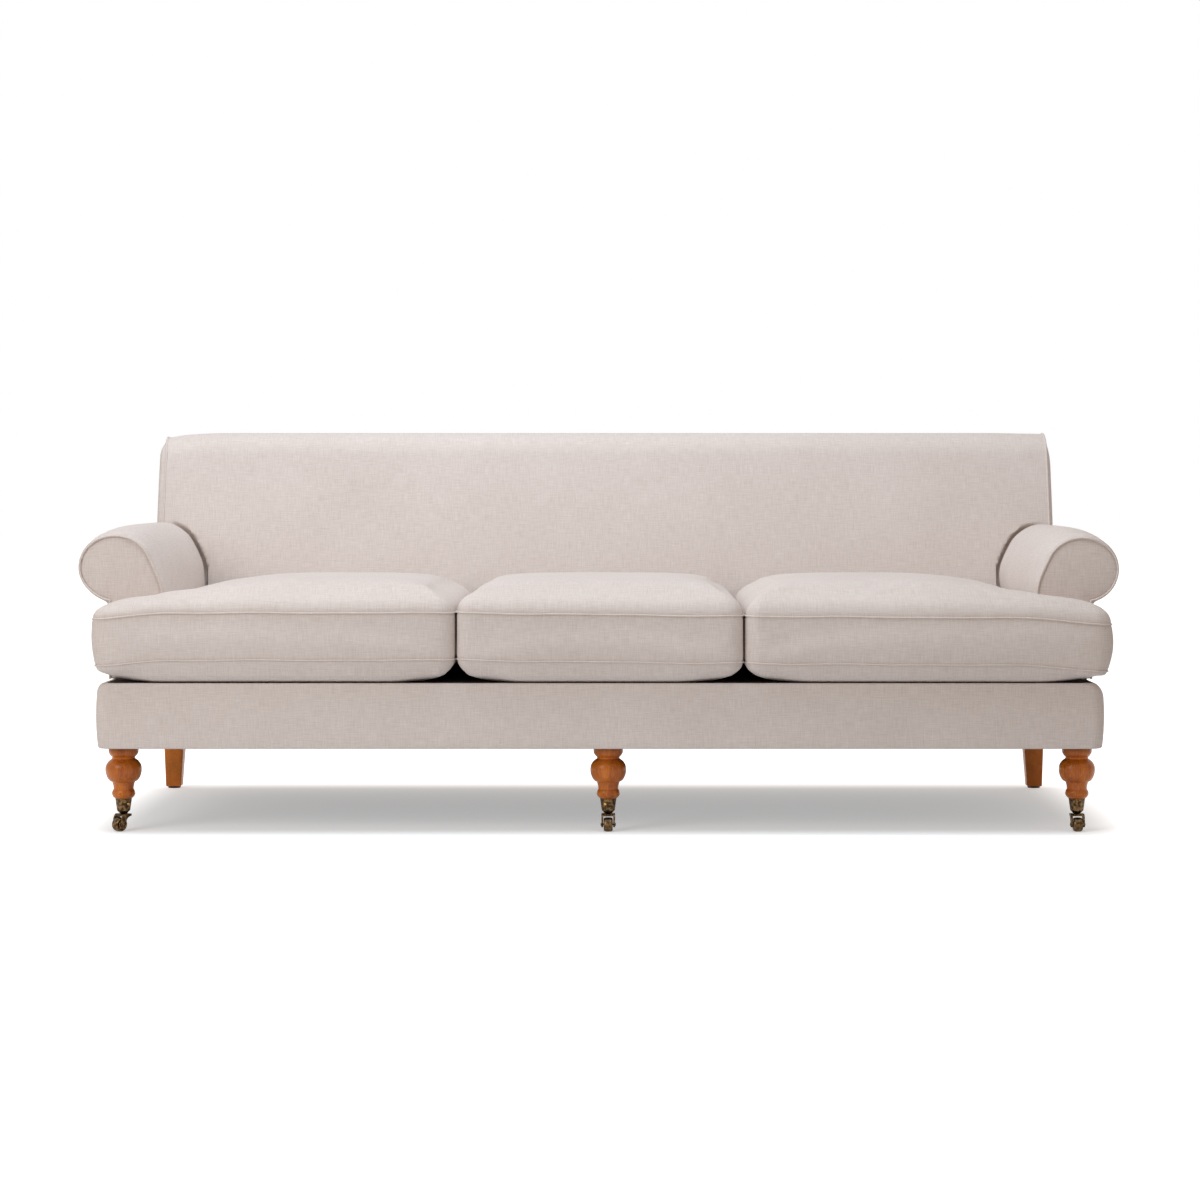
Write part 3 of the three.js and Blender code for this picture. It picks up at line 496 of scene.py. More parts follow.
def timber(name, dark, light, roughness, coat, grain_axis=2):
    """Stained or raw hardwood, with its grain along one axis."""
    material, tree, shader = new_finish(name)
    stretch = [1.0, 1.0, 1.0]
    stretch[grain_axis] = 0.07
    stretched = scaled(tree, object_place(tree), stretch)
    fibres = noise(tree, stretched, scale=420, detail=5, roughness=0.65)
    figure = noise(tree, stretched, scale=46, detail=3)
    both = maths(tree, "ADD", maths(tree, "MULTIPLY", fibres, 0.5), maths(tree, "MULTIPLY", figure, 0.5))
    painted(tree, shader, spread_out(tree, both, 0.34, 0.66), dark, light)
    bumped(tree, shader, fibres, 0.06 * MM, 0.5)
    set_values(shader, {"Roughness": roughness, "Coat Weight": coat, "Coat Roughness": 0.12})
    set_values(shader, {"Specular IOR Level": 0.2})
    return material


def metal(name, dark, light, roughness, wear):
    """Metal with a patina that has worn through in places."""
    material, tree, shader = new_finish(name)
    patina = noise(tree, object_place(tree), scale=160, detail=5, roughness=0.6)
    painted(tree, shader, spread_out(tree, patina, wear, wear + 0.3), dark, light)
    inputs = {"Value": patina, "To Min": roughness + 0.1, "To Max": roughness - 0.05}
    rough = add(tree, "ShaderNodeMapRange", inputs)
    tree.links.new(rough.outputs["Result"], shader.inputs["Roughness"])
    bumped(tree, shader, patina, 0.05 * MM, 0.4)
    set_values(shader, {"Metallic": 1.0})
    return material


def moulded(name, tone, roughness, grain):
    """Moulded plastic with a fine grain."""
    material, tree, shader = new_finish(name)
    speckle = noise(tree, object_place(tree), scale=900, detail=3)
    painted(tree, shader, speckle, darker(tone, 0.8), tone)
    bumped(tree, shader, speckle, grain, 0.6)
    set_values(shader, {"Roughness": roughness})
    return material


def darker(tone, share):
    return [value * share for value in tone]


def finishes():
    """All the finishes by their slot's name, made once."""
    if "linen_finish" not in bpy.data.materials:
        c = colours()
        pitch = sizes().thread_pitch
        woven("linen", c.linen_shadow, c.linen, pitch, 1.0, 0.3 * MM, 0.12)
        for name, tone, share in (("deck_cloth", c.deck_cloth, 0.5), ("dust_cloth", c.dust_cloth, 0.7)):
            woven(name, darker(tone, share), tone, pitch / 2, 0.3, 0.1 * MM, 0.02)
        timber("turned_hardwood", c.turned_wood_dark, c.turned_wood, 0.3, 0.12)
        # Painted light: the rear legs' wood is painted lighter to make up for the shade on them.
        timber("rear_leg_hardwood", darker(c.rear_wood_lightened_for_shade, 0.6), c.rear_wood_lightened_for_shade, 0.42, 0.1)
        metal("antique_bronze", c.bronze_dark, c.bronze, 0.38, 0.42)
        metal("wheel_bronze", c.bronze_dark, c.bronze, 0.34, 0.38)
        metal("screw_brass", darker(c.brass, 0.5), c.brass, 0.3, 0.25)
        metal("spring_steel", darker(c.steel, 0.6), c.steel, 0.35, 0.3)
        moulded("glide_plastic", c.glide, 0.6, 0.05 * MM)
        dark = darker(c.frame_wood, 0.75)
        for axis, way in enumerate(("across", "back", "up")):
            timber(f"frame_hardwood_{way}", dark, c.frame_wood, 0.75, 0.0, axis)
    made = (each for each in bpy.data.materials if each.name.endswith("_finish"))
    return {each.name.removesuffix("_finish"): each for each in made}


# Outlines and soft shapes


def bezier(start, first, second, end, steps):
    """Points of a curve after its start, its end among them."""
    found = []
    for i in range(1, steps + 1):
        t = i / steps
        weights = [(1 - t) ** 3, 3 * t * (1 - t) ** 2, 3 * t * t * (1 - t), t**3]
        corners = (start, first, second, end)
        found.append(tuple(sum(w * c[k] for w, c in zip(weights, corners)) for k in range(len(start))))
    return found


def quadratic(start, control, end, steps):
    first = tuple(a + (b - a) * 2 / 3 for a, b in zip(start, control))
    second = tuple(a + (b - a) * 2 / 3 for a, b in zip(end, control))
    return bezier(start, first, second, end, steps)


def arc(centre, radii, start, end, steps):
    """Points of an ellipse's arc, both ends among them, with its angles in degrees."""
    found = []
    for i in range(steps + 1):
        angle = math.radians(start + (end - start) * i / steps)
        found.append((centre[0] + radii[0] * math.cos(angle), centre[1] + radii[1] * math.sin(angle)))
    return found


def rise_smoothly(value, start, end):
    """From 0 at start to 1 at end."""
    share = np.clip((value - start) / (end - start), 0, 1)
    return share * share * (3 - 2 * share)


def ripple(along_it, wavelength, phase):
    """A gentle irregular wave between about -1 and 1."""
    turn = 2 * math.pi * along_it / wavelength
    return 0.6 * np.sin(turn + phase) + 0.4 * np.sin(1.73 * turn + 2.1 * phase)


def depth_in_plan(places, outline, radius):
    """How deep each place lies inside a plan, from the plan's outline drawn in by its corners' radius."""
    x, y = places[:, 0], places[:, 1]
    inside = np.zeros(len(places), bool)
    nearest = np.full(len(places), np.inf)
    blended = np.zeros(len(places))
    for (x0, y0), (x1, y1) in zip(outline, outline[1:] + outline[:1]):
        if y0 != y1:
            crossing = x0 + (y - y0) * (x1 - x0) / (y1 - y0)
            inside ^= ((y0 > y) != (y1 > y)) & (x < crossing)
        run = np.array([x1 - x0, y1 - y0])
        share = np.clip(((x - x0) * run[0] + (y - y0) * run[1]) / (run @ run), 0, 1)
        distance = np.hypot(x - x0 - share * run[0], y - y0 - share * run[1])
        nearest = np.minimum(nearest, distance)
        blended += np.maximum(distance, 1e-6) ** -3.0
    return np.where(inside, radius + blended ** (-1 / 3), radius - nearest)


def slope_in_plan(places, outline, radius):
    """The way in which the depth in plan grows."""
    slopes = np.zeros_like(places)
    for axis in (0, 1):
        step = np.zeros(3)
        step[axis] = MM
        ahead = depth_in_plan(places + step, outline, radius)
        behind = depth_in_plan(places - step, outline, radius)
        slopes[:, axis] = (ahead - behind) / (2 * MM)
    return slopes


def rounded_plan(outline, radius, step):
    """The plan's outline at its full size, as a closed path of points with rounded corners."""
    path = []
    count = len(outline)
    for i, corner in enumerate(outline):
        before = np.subtract(corner, outline[i - 1])
        after = np.subtract(outline[(i + 1) % count], corner)
        before = before / np.linalg.norm(before)
        after = after / np.linalg.norm(after)
        turn = before[0] * after[1] - before[1] * after[0]
        out_before = np.array([before[1], -before[0]])
        out_after = np.array([after[1], -after[0]])
        if turn > 0:
            for k in range(7):
                blend = out_before * math.cos(k * math.pi / 12) + out_after * math.sin(k * math.pi / 12)
                path.append(np.asarray(corner) + radius * blend)
        else:
            path.append(np.asarray(corner) + radius * (out_before + out_after))
    dense = []
    for here, there in zip(path, path[1:] + path[:1]):
        steps = max(1, round(float(np.linalg.norm(there - here)) / step))
        dense += [here + (there - here) * k / steps for k in range(steps)]
    return np.array(dense)


LINEN_CLOTH = {
    "quality": 6,
    "mass": 0.3,
    "tension_stiffness": 15,
    "compression_stiffness": 15,
    "shear_stiffness": 5,
    "bending_stiffness": 0.6,
    "air_damping": 2,
    "use_pressure": True,
    "vertex_group_mass": "held",
}


def fill_cloth(piece, held, pressure, cap, rounds=6, frames=20):
    """Fills a closed cloth until it presses out between its held places, and keeps the result."""
    start = places_of(piece)
    activate(piece)
    group = piece.vertex_groups.new(name="held")
    group.add(np.flatnonzero(held).tolist(), 1.0, "REPLACE")
    cloth = piece.modifiers.new("cloth", "CLOTH")
    cloth.point_cache.frame_start = 1
    cloth.point_cache.frame_end = frames
    for key, value in {**LINEN_CLOTH, "uniform_pressure_force": pressure}.items():
        setattr(cloth.settings, key, value)
    cloth.settings.effector_weights.gravity = 0
    cloth.collision_settings.use_collision = False
    for number in range(1, frames + 1):
        bpy.context.scene.frame_set(number)
    bpy.ops.object.modifier_apply(modifier=cloth.name)
    bpy.context.scene.frame_set(1)
    piece.vertex_groups.clear()
    filled_out = places_of(piece)
    reshape(piece, start)
    outwards = normals_of(piece)
    swell = np.clip(((filled_out - start) * outwards).sum(axis=1, keepdims=True), 0, cap)
    reshape(piece, start + outwards * evened(piece, swell, rounds))
    return piece


def evened(piece, move, rounds):
    """Evens out how far neighbouring places move, so that only broad folds are left."""
    ends = np.empty(len(piece.data.edges) * 2, int)
    piece.data.edges.foreach_get("vertices", ends)
    first, second = ends[::2], ends[1::2]
    count = np.bincount(ends, minlength=len(move))
    for _ in range(rounds):
        total = [
            np.bincount(first, move[second, k], len(move)) + np.bincount(second, move[first, k], len(move))
            for k in range(move.shape[1])
        ]
        move = 0.4 * move + 0.6 * np.column_stack(total) / count[:, None]
    return move


def nearest_to(places, among):
    """For each place the nearest one among others: its number, and how far away it is."""
    tree = KDTree(len(among))
    for i, place in enumerate(among):
        tree.insert(place, i)
    tree.balance()
    found = [tree.find(place) for place in places]
    return np.array([number for _, number, _ in found]), np.array([away for _, _, away in found])


def press_seam(piece, path, width, depth):
    """Presses a shallow valley into a piece along a dense path."""
    places, normals = places_of(piece), normals_of(piece)
    distances = nearest_to(places, path)[1]
    share = np.clip(1 - distances / width, 0, 1)
    reshape(piece, places - normals * (depth * share**2)[:, None])


def laid_on(piece, path, lift):
    """The path moved along the piece's normals until it lies on the piece."""
    places, normals = places_of(piece), normals_of(piece)
    nearest = nearest_to(path, places)[0]
    offsets = ((places[nearest] - path) * normals[nearest]).sum(axis=1) + lift
    return path + normals[nearest] * offsets[:, None]


# Seat cushions

EAR_REACH = 85 * MM
EAR_END = (90 * MM, 10 * MM)


def rounded_section(across, upwards, power):
    """Moves a place of a square corner to a rounded one, both in shares from 0 to 1."""
    both = np.maximum(across, upwards)
    reach = np.maximum((across**power + upwards**power) ** (1 / power), 1e-9)
    return across * both / reach, upwards * both / reach


def ear_drop(places, ear_start, ear_end):
    """How far a cushion droops towards its ear's end."""
    return sizes().ear_droop * rise_smoothly(places[:, 0], ear_start - 60 * MM, ear_end) ** 1.5


def ear_pull(places, ear_end, pull):
    """How far an ear's end stands out: its lower seam, its upper seam, and its belly between them."""
    s = sizes()
    lower, upper, belly = pull
    share = np.clip((places[:, 2] - s.lower_seam) / (s.upper_seam - s.lower_seam), 0, 1)
    shift = lower + (upper - lower) * share + belly * np.sin(math.pi * share)
    return shift * MM * rise_smoothly(places[:, 0], ear_end - EAR_END[0], ear_end - EAR_END[1])


def seam_wave(places, phase, sag):
    """How far a cushion's seams rise between its ends: they wave a little, and may sag to one side."""
    wave = ripple(places[:, 0] + 0.6 * places[:, 1], 310 * MM, phase)
    return 1.0 * MM * wave - np.interp(places[:, 0], *sag)


def crowned(piece, outline, guide, low, high, ear_start, ear_end, phase, power, tucks, sag, pull):
    """Rounds a box into a cushion: a crowned top, a fuller bottom, and sides that pull in at the corners."""
    s = sizes()
    places = places_of(piece)
    keel_reach = np.full(len(places), s.keel_reach)
    for x, tuck in tucks:
        near = 1 - rise_smoothly(np.abs(places[:, 0] - x), 30 * MM, 140 * MM)
        keel_reach += (tuck - s.keel_reach) * near
    deep = np.maximum(depth_in_plan(places, outline, s.plan_corner), 0)
    slopes = slope_in_plan(places, guide, s.plan_guide)
    up = np.clip((places[:, 2] - s.upper_seam) / (high - s.upper_seam), 0, 1)
    down = np.clip((s.lower_seam - places[:, 2]) / (s.lower_seam - low), 0, 1)
    in_ear = rise_smoothly(places[:, 0], ear_start - 300 * MM, ear_start) ** 1.5
    reach_top = s.crown_reach + (EAR_REACH - s.crown_reach) * in_ear
    rise = (s.crown + (s.ear_crown - s.crown) * in_ear) * 0.95
    front_power = 2.3
    powers = front_power + (power - front_power) * slopes[:, 0] ** 2
    across_top, up_top = rounded_section(np.clip(1 - deep / reach_top, 0, 1), up, powers)
    across_low, up_low = rounded_section(np.clip(1 - deep / keel_reach, 0, 1), down, 1.9)
    moved = places.copy()
    inward_top = np.where(up > 0, (1 - across_top) * reach_top - np.minimum(deep, reach_top), 0)
    inward_low = np.where(down > 0, (1 - across_low) * keel_reach - np.minimum(deep, keel_reach), 0)
    moved += slopes * (inward_top + inward_low)[:, None]
    moved[:, 0] += ear_pull(places, ear_end, pull)
    seam = np.clip((places[:, 2] - s.lower_seam) / (s.upper_seam - s.lower_seam), 0, 1)
    moved[:, 2] = s.lower_seam + (s.upper_seam - s.lower_seam) * seam
    moved[:, 2] += rise * up_top - s.keel * up_low
    whole = rise_smoothly(places[:, 2], low, s.lower_seam)
    moved[:, 2] += seam_wave(places, phase, sag) * np.where(down > 0, whole, 1 - up_top)
    moved[:, 2] -= ear_drop(places, ear_start, ear_end) * np.where(down > 0, whole, 1)
    moved = places + evened(piece, moved - places, 2)
    soft = rise_smoothly(up_top, 0.4, 0.85)[:, None] * (0, 0, 1)
    reshape(piece, moved + soft * (evened(piece, moved, 30) - moved))
    return deep


def cushion_box(name, plan, ear, low, high):
    """The plain box of a cushion, with its ear if it has one."""
    (x0, y0), (x1, y1) = plan
    piece = start_box(name, (x0, y0, low), (x1, y1, high))
    enter("EDIT")
    if ear:
        cut_across((0, ear[1], 0), (0, 1, 0))
        pick("FACE", lambda f: f.normal.x > 0.9 and middle(f).y < ear[1])
        move_region((ear[0] - x1, 0, 0))
    s = sizes()
    pick(
        "EDGE",
        lambda e: along(e, 2) and not (ear and abs(middle(e).x - x1) < MM and middle(e).y < y1 - MM),
    )
    bpy.ops.mesh.bevel(offset=s.plan_corner, segments=6, affect="EDGES")
    enter("OBJECT")
    return piece


def cushion(name, plan, ear, phase, power, tucks, sag=((0, 1), (0, 0)), pull=(0, 0, 0)):
    """A seat cushion's cover, filled out by simulation, with its welts."""
    s = sizes()
    low, high = node_low("middle_cushion_cover").z + 1 * MM, s.upper_seam + s.crown
    (x0, y0), (x1, y1) = plan
    r = s.plan_corner
    ends = ((ear[0], y0), (ear[0], ear[1]), (x1, ear[1])) if ear else ((x1, y0),)
    corners = [(x0, y0), *ends, (x1, y1), (x0, y1)]
    inward = [(1, 1), *([(-1, 1), (-1, -1), (-1, -1)] if ear else [(-1, 1)]), (-1, -1), (1, -1)]
    outline, guide = (
        [(x + radius * i, y + radius * j) for (x, y), (i, j) in zip(corners, inward)]
        for radius in (r, s.plan_guide)
    )
    far_off = 9
    ear_start, ear_end = (x1, ear[0]) if ear else (far_off, far_off)
    piece = cushion_box(name, plan, ear, low, high)
    use_modifier(piece, "REMESH", mode="VOXEL", voxel_size=s.cushion_voxel)
    box = places_of(piece)
    deep = crowned(piece, outline, guide, low, high, ear_start, ear_end, phase, power, tucks, sag, pull)
    off_seam = np.minimum(abs(box[:, 2] - s.upper_seam), abs(box[:, 2] - s.lower_seam))
    on_seam = off_seam < 0.45 * s.cushion_voxel
    seated = (box[:, 2] < low + 2 * MM) & (deep > s.keel_reach)
    held = (on_seam & (deep < 4 * MM)) | seated
    fill_cloth(piece, held, 4, s.swell_cap)
    use_modifier(piece, "SUBSURF", levels=1, render_levels=1)
    edge = rounded_plan(outline, r, 3 * MM)
    welts = []
    for height, part in ((s.upper_seam, "upper"), (s.lower_seam, "lower")):
        path = np.column_stack([edge, np.full(len(edge), height)])
        path[:, 0] += ear_pull(path, ear_end, pull)
        path[:, 2] += seam_wave(path, phase, sag) - ear_drop(path, ear_start, ear_end)
        path = laid_on(piece, path, 0.6 * MM)
        press_seam(piece, path, 9 * MM, 1.6 * MM)
        line = path[::4].tolist()
        welts.append(cord_along(f"{name}_{part}_welt", line, s.welt_radius, closed=True, sides=2))
    return piece, welts


def cushions():
    """The three seat cushions with their welts, the left one made on the right and mirrored."""
    made = {}
    low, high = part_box("middle_cushion_cover")
    plan = ((low.x, low.y), (high.x, high.y))
    tucks = ((low.x, 96 * MM), (high.x, 90 * MM))
    sag = (low.x, high.x), (0, 7 * MM)
    made["middle"] = cushion("middle_cushion", plan, None, 0.7, 2.25, tucks, sag)
    low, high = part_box("right_cushion_cover")
    side_end = node_low("right_arm_upholstery").x - 3 * MM
    ear_rear = node_low("right_arm_facing").y - 3 * MM
    plan = ((low.x, low.y), (side_end, high.y))
    ear = (high.x + 2 * MM, ear_rear)
    tucks = ((low.x, 95 * MM), (high.x, 118 * MM))
    pad, welts = cushion("left_cushion", plan, ear, 5.2, 2.0, tucks, pull=(-9, -3, 4.6))
    made["left"] = mirrored(pad), [mirrored(welt) for welt in welts]
    tucks = ((low.x, 90 * MM), (high.x, 100 * MM))
    sag = (low.x, side_end), (7 * MM, 11 * MM)
    made["right"] = cushion("right_cushion", plan, ear, 2.9, 2.05, tucks, sag, (-3, 5, 8))
    for side, (pad, welts) in made.items():
        body = f"{side}_cushion"
        hand_over(smooth(pad, 60), body, "linen", (f"{body}_cover", f"{body}_core"))
        for welt in welts:
            hand_over(welt, body, "linen")


# Arms

NECK = 148 * MM
ROLL_FOOT = 160 * MM
ROLL = (82 * MM, 74 * MM)
BEHIND_SEAT = 190 * MM


def arm_outline(inset):
    """The right arm seen from the front, as (x, z), from its inner foot over the roll to its outer foot."""
    low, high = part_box("right_arm_facing")
    outer = node_high("base_border").x - inset
    inner = low.x + inset
    foot = low.z
    radii = (ROLL[0] - inset, ROLL[1] - inset)
    centre = (high.x - ROLL[0], high.z - ROLL[1])
    neck = -math.degrees(math.acos((outer - centre[0]) / radii[0]))
    shoulder_angle = 155
    shoulder = math.radians(shoulder_angle)
    start = (centre[0] + radii[0] * math.cos(shoulder), centre[1] + radii[1] * math.sin(shoulder))
    slope = radii[1] * math.cos(shoulder) / (radii[0] * math.sin(shoulder))
    fullness = 16 * MM
    control = (inner - fullness, start[1] + (start[0] - inner + fullness) * slope)
    straight_top = high.z - 144 * MM
    walls = [(inner, foot + (straight_top - foot) * i / 16) for i in range(17)]
    bend = quadratic(walls[-1], control, start, 12)
    roll = arc(centre, radii, shoulder_angle, neck, 40)[1:]
    return walls + bend + roll + [(outer, (foot + roll[-1][1]) / 2), (outer, foot)]


def arm_body():
    """The right arm's roll and wall, ending against the back, with its far end a little higher."""
    low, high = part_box("right_arm_upholstery")
    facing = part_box("right_arm_facing")
    front = facing[0].y + 4 * MM
    path = [(x, front, z) for x, z in arm_outline(1.5 * MM)]
    piece = drawn_out("right_arm", path, (0, high.y - front, 0))
    pick("EDGE", lambda e: max(v.co.y for v in e.verts) < front + MM)
    bpy.ops.mesh.bevel(offset=7 * MM, segments=3, affect="EDGES")
    enter("OBJECT")
    activate(piece)
    tool = behind_back("arm_cutter", low.x - 5 * MM, node_high("base_border").x + 0.5 * MM, 1 * MM)
    cut_away(piece, tool)
    use_modifier(piece, "REMESH", mode="VOXEL", voxel_size=6 * MM)
    places = places_of(piece)
    share = (places[:, 1] - facing[0].y) / (high.y - facing[0].y)
    face = np.array(back_face(1 * MM))
    ahead = np.interp(places[:, 2], face[:, 1], face[:, 0]) - places[:, 1]
    meeting = np.clip(1 - ahead / (9 * MM), 0, 1) ** 2 * (places[:, 0] < node_high("back_upholstery").x)
    places -= normals_of(piece) * (4 * MM * meeting)[:, None] * (1, 0.3, 1)
    places[:, 0] -= leaning_in(places, low) * rise_smoothly(share, 0.0, 0.6)
    places[:, 2] += arm_rise(places)
    reshape(piece, places)
    ends = (places[:, 1] < front + 9 * MM) | (places[:, 1] > high.y - 5 * MM)
    ends |= places[:, 2] < low.z + 5 * MM
    against_back = (places[:, 0] < node_high("base_border").x) & (places[:, 1] > BEHIND_SEAT)
    fill_cloth(piece, ends | against_back, 1.5, 3 * MM, rounds=3, frames=12)
    use_modifier(piece, "SUBSURF", levels=1, render_levels=1)
    return smooth(piece, 50)


def arm_rise(places):
    """How much higher than its outline the right arm's roll is filled, behind its facing."""
    low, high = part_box("right_arm_facing")
    share = np.clip((places[:, 1] - low.y) / (node_high("right_arm_upholstery").y - low.y), 0, 1)
    return 16 * MM * (1 - (1 - share) ** 7) * np.clip((places[:, 2] - high.z) / NECK + 1, 0, 1)


def in_roll(places):
    """From 0 in an arm's wall to 1 in its roll."""
    foot = node_high("right_arm_facing").z - ROLL_FOOT
    return rise_smoothly(places[:, 2], foot, foot + 70 * MM)


def make_room(piece, side):
    """Sinks the back's front face where an arm's end lies against it, which leaves a fine dark line."""
    face = np.array(back_face(0))
    line = np.array([(x, np.interp(z, face[:, 1], face[:, 0]), z) for x, z in arm_outline(1.5 * MM)])
    roll = in_roll(line)
    line[:, 2] += arm_rise(line) + (0 if side > 0 else 5) * MM * roll
    line[:, 0] -= leaning_in(line, node_low("right_arm_upholstery")) + side * 4 * MM * roll
    places, side_x = places_of(piece), node_high("back_upholstery").x
    seen = np.column_stack([side * places[:, 0], places[:, 2], places[:, 1]])
    outline = [(x, z) for x, _, z in line]
    inside = depth_in_plan(seen, outline, 0)
    front = places[:, 1] < np.interp(places[:, 2], face[:, 1], face[:, 0]) + 20 * MM
    front = front * (1 - rise_smoothly(seen[:, 0], side_x - 80 * MM, side_x - 25 * MM))
    slot_depth, slot_reach, slot_edge = 16 * MM, 4.8 * MM, 3.8 * MM
    places[:, 1] += slot_depth * np.clip((inside + slot_reach) / slot_edge, 0, 1) * front
    reshape(piece, places)


def leaning_in(places, low):
    """How far the right arm's wall leans in over the seat."""
    neck = node_high("right_arm_facing").z - NECK
    over_seat = rise_smoothly(places[:, 2], neck + 15 * MM, neck + 70 * MM)
    return 7 * MM * over_seat * (1 - rise_smoothly(places[:, 0], low.x, low.x + 60 * MM))


def back_face(clearance):
    """The front of the back seen from the side, as (y, z), from the seat up to the shoulder."""
    low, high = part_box("back_upholstery")
    foot, shoulder = (low.y - clearance, low.z), (low.y + 101.6 * MM - clearance, high.z - 55 * MM)
    control = ((foot[0] + shoulder[0]) / 2 - 18 * MM, (foot[1] + shoulder[1]) / 2)
    return [foot, *quadratic(foot, control, shoulder, 16)]


def behind_back(name, x0, x1, clearance):
    """A block that fills the room behind the back's front face."""
    face = back_face(clearance)
    rear = node_high("back_upholstery").y + 60 * MM
    outline = [(face[0][0], face[0][1] - 60 * MM), *face, (rear, face[-1][1]), (rear, face[0][1] - 60 * MM)]
    piece = drawn_out(name, [(x0, y, z) for y, z in outline], (x1 - x0, 0, 0))
    enter("OBJECT")
    return piece


def arm_facing():
    """The flat padded panel on the right arm's front."""
    low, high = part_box("right_arm_facing")
    outline = arm_outline(6 * MM)
    front = low.y + 5 * MM
    piece = drawn_out("right_facing", [(x, front, z) for x, z in outline], (0, high.y - front, 0))
    enter("OBJECT")
    use_modifier(piece, "REMESH", mode="VOXEL", voxel_size=4 * MM)
    places = places_of(piece)
    inside = depth_in_plan(places[:, (0, 2, 1)], outline, 0)
    full = 1 - (1 - np.clip(inside / (20 * MM), 0, 1)) ** 2
    places[:, 1] -= 4.4 * MM * full * (1 - rise_smoothly(places[:, 1], low.y + 6 * MM, high.y))
    reshape(piece, places)
    return smooth(piece, 50)


def arms():
    """Both arms with their facings and piping."""
    s = sizes()
    low = node_low("right_arm_facing")
    outline = arm_outline(6.5 * MM)
    path = [(x, low.y + 1.6 * MM, z) for x, z in outline]
    rights = [arm_body(), arm_facing(), cord_along("right_arm_piping", path, s.piping_radius)]
    for piece in rights:
        twin = mirror_copy(piece, piece.name.replace("right", "left"))
        for each, lift in ((piece, 0), (twin, 5 * MM)):
            places = places_of(each)
            reshape(each, places + in_roll(places)[:, None] * (-4 * MM, 0, lift))
        smooth(twin, 50)
        for side, each in (("right", piece), ("left", twin)):
            part = piece.name.split("_", 1)[1]
            nodes = {"arm": (f"{side}_arm_upholstery",), "facing": (f"{side}_arm_facing",)}.get(part, ())
            hand_over(each, "root", "linen", nodes)


# Back

TOP_STEPS, REAR_STEPS = 16, 8


def back_outline():
    """The back seen from the side, as (y, z): its front, its round top and its raked rear."""
    low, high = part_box("back_upholstery")
    face = back_face(0)
    shoulder = face[-1]
    crest = (shoulder[0] + 70 * MM, high.z)
    rake = (shoulder[0] - face[-2][0]) / (shoulder[1] - face[-2][1])
    lean = (shoulder[0] + 34 * MM * rake, shoulder[1] + 34 * MM)
    top = bezier(shoulder, lean, ((shoulder[0] + crest[0]) / 2, high.z), crest, TOP_STEPS)
    round_z = high.z - 44 * MM
    rear = quadratic(crest, (high.y, high.z), (high.y, round_z), REAR_STEPS)
    foot_rear = low.y + 188 * MM
    down = [(high.y + (foot_rear - high.y) * i / 8, round_z + (low.z - round_z) * i / 8) for i in range(1, 9)]
    return face + top + rear + down


def back():
    """The tight back, its side piping and the outside back panel."""
    high = node_high("back_upholstery")
    seam_x = high.x - 14 * MM
    outline = back_outline()
    piece = drawn_out("back", [(-seam_x, y, z) for y, z in outline], (2 * seam_x, 0, 0))
    for side in (-1, 1):
        pick("FACE", lambda f: f.normal.x * side > 0.9)
        for thickness, depth in ((1, 5), (2, 4), (3.5, 3), (6, 2)):
            bpy.ops.mesh.inset(thickness=thickness * MM, depth=depth * MM)
    enter("OBJECT")
    use_modifier(piece, "REMESH", mode="VOXEL", voxel_size=5.5 * MM)
    for side in (-1, 1):
        make_room(piece, side)
    reshape(piece, dressed_back(places_of(piece), high))
    hand_over(smooth(piece, 60), "root", "linen", ("back_upholstery",))
    front = outline[: len(back_face(0)) + TOP_STEPS + REAR_STEPS]
    for side, name in ((-1, "left"), (1, "right")):
        path = np.array([(side * (seam_x + 0.5 * MM), y, z) for y, z in front])
        path = dressed_back(path, high).tolist()
        cord = cord_along(f"{name}_back_piping", path, sizes().piping_radius)
        hand_over(cord, "root", "linen")
    outside_back()


def dressed_back(places, high):
    """The back's crest drops towards both ends, its corners are rounded, and its foot covers the frame."""
    places = places.copy()
    top = rise_smoothly(places[:, 2], high.z - 120 * MM, high.z)
    low_z = node_low("back_upholstery").z
    foot = 1 - rise_smoothly(places[:, 2], low_z, low_z + 40 * MM)
    # For each side: how far its seam and its end stand out, each below and at the crest, how tall
    # the crest's part is, and how far the crest slopes and drops there, all in millimetres
    ends = ((-1, (-5, 2), (-1, -16), 45, 4, 7), (1, (9, 9), (5.5, -8.5), 80, 2, 0))
    for side, seam, end, tall, slope, drop in ends:
        from_end = high.x - side * places[:, 0]
        inwards = np.clip(from_end / (14 * MM), 0, 1)
        high_up = np.clip(1 - (high.z - places[:, 2]) / (tall * MM), 0, 1) ** 2
        at_seam, at_end = (low + (up - low) * high_up for low, up in (seam, end))
        near = 1 - rise_smoothly(from_end, 14 * MM, 70 * MM)
        places[:, 0] += side * MM * near * (at_end + (at_seam - at_end) * inwards)
        places[:, 2] -= slope * MM * (1 - rise_smoothly(from_end, 0, 150 * MM)) * top
        places[:, 2] -= drop * MM * np.exp(-np.maximum(from_end - 22 * MM, 0) / (30 * MM)) * top
        places[:, 2] -= 9 * MM * foot * (1 - rise_smoothly(from_end, 30 * MM, 60 * MM))
    return places


def outside_back():
    """The panel that closes the back, raked as the timbers are."""
    low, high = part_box("outside_back_panel")
    thickness = 8 * MM
    piece = start_box("outside_back", low, (high.x, low.y + thickness, high.z))
    places = places_of(piece)
    places[:, 1] += (high.y - low.y - thickness) * (places[:, 2] - low.z) / (high.z - low.z)
    reshape(piece, places)
    use_modifier(piece, "BEVEL", width=3 * MM, segments=4)
    hand_over(smooth(piece, 40), "root", "linen", ("outside_back_panel",))


# Base


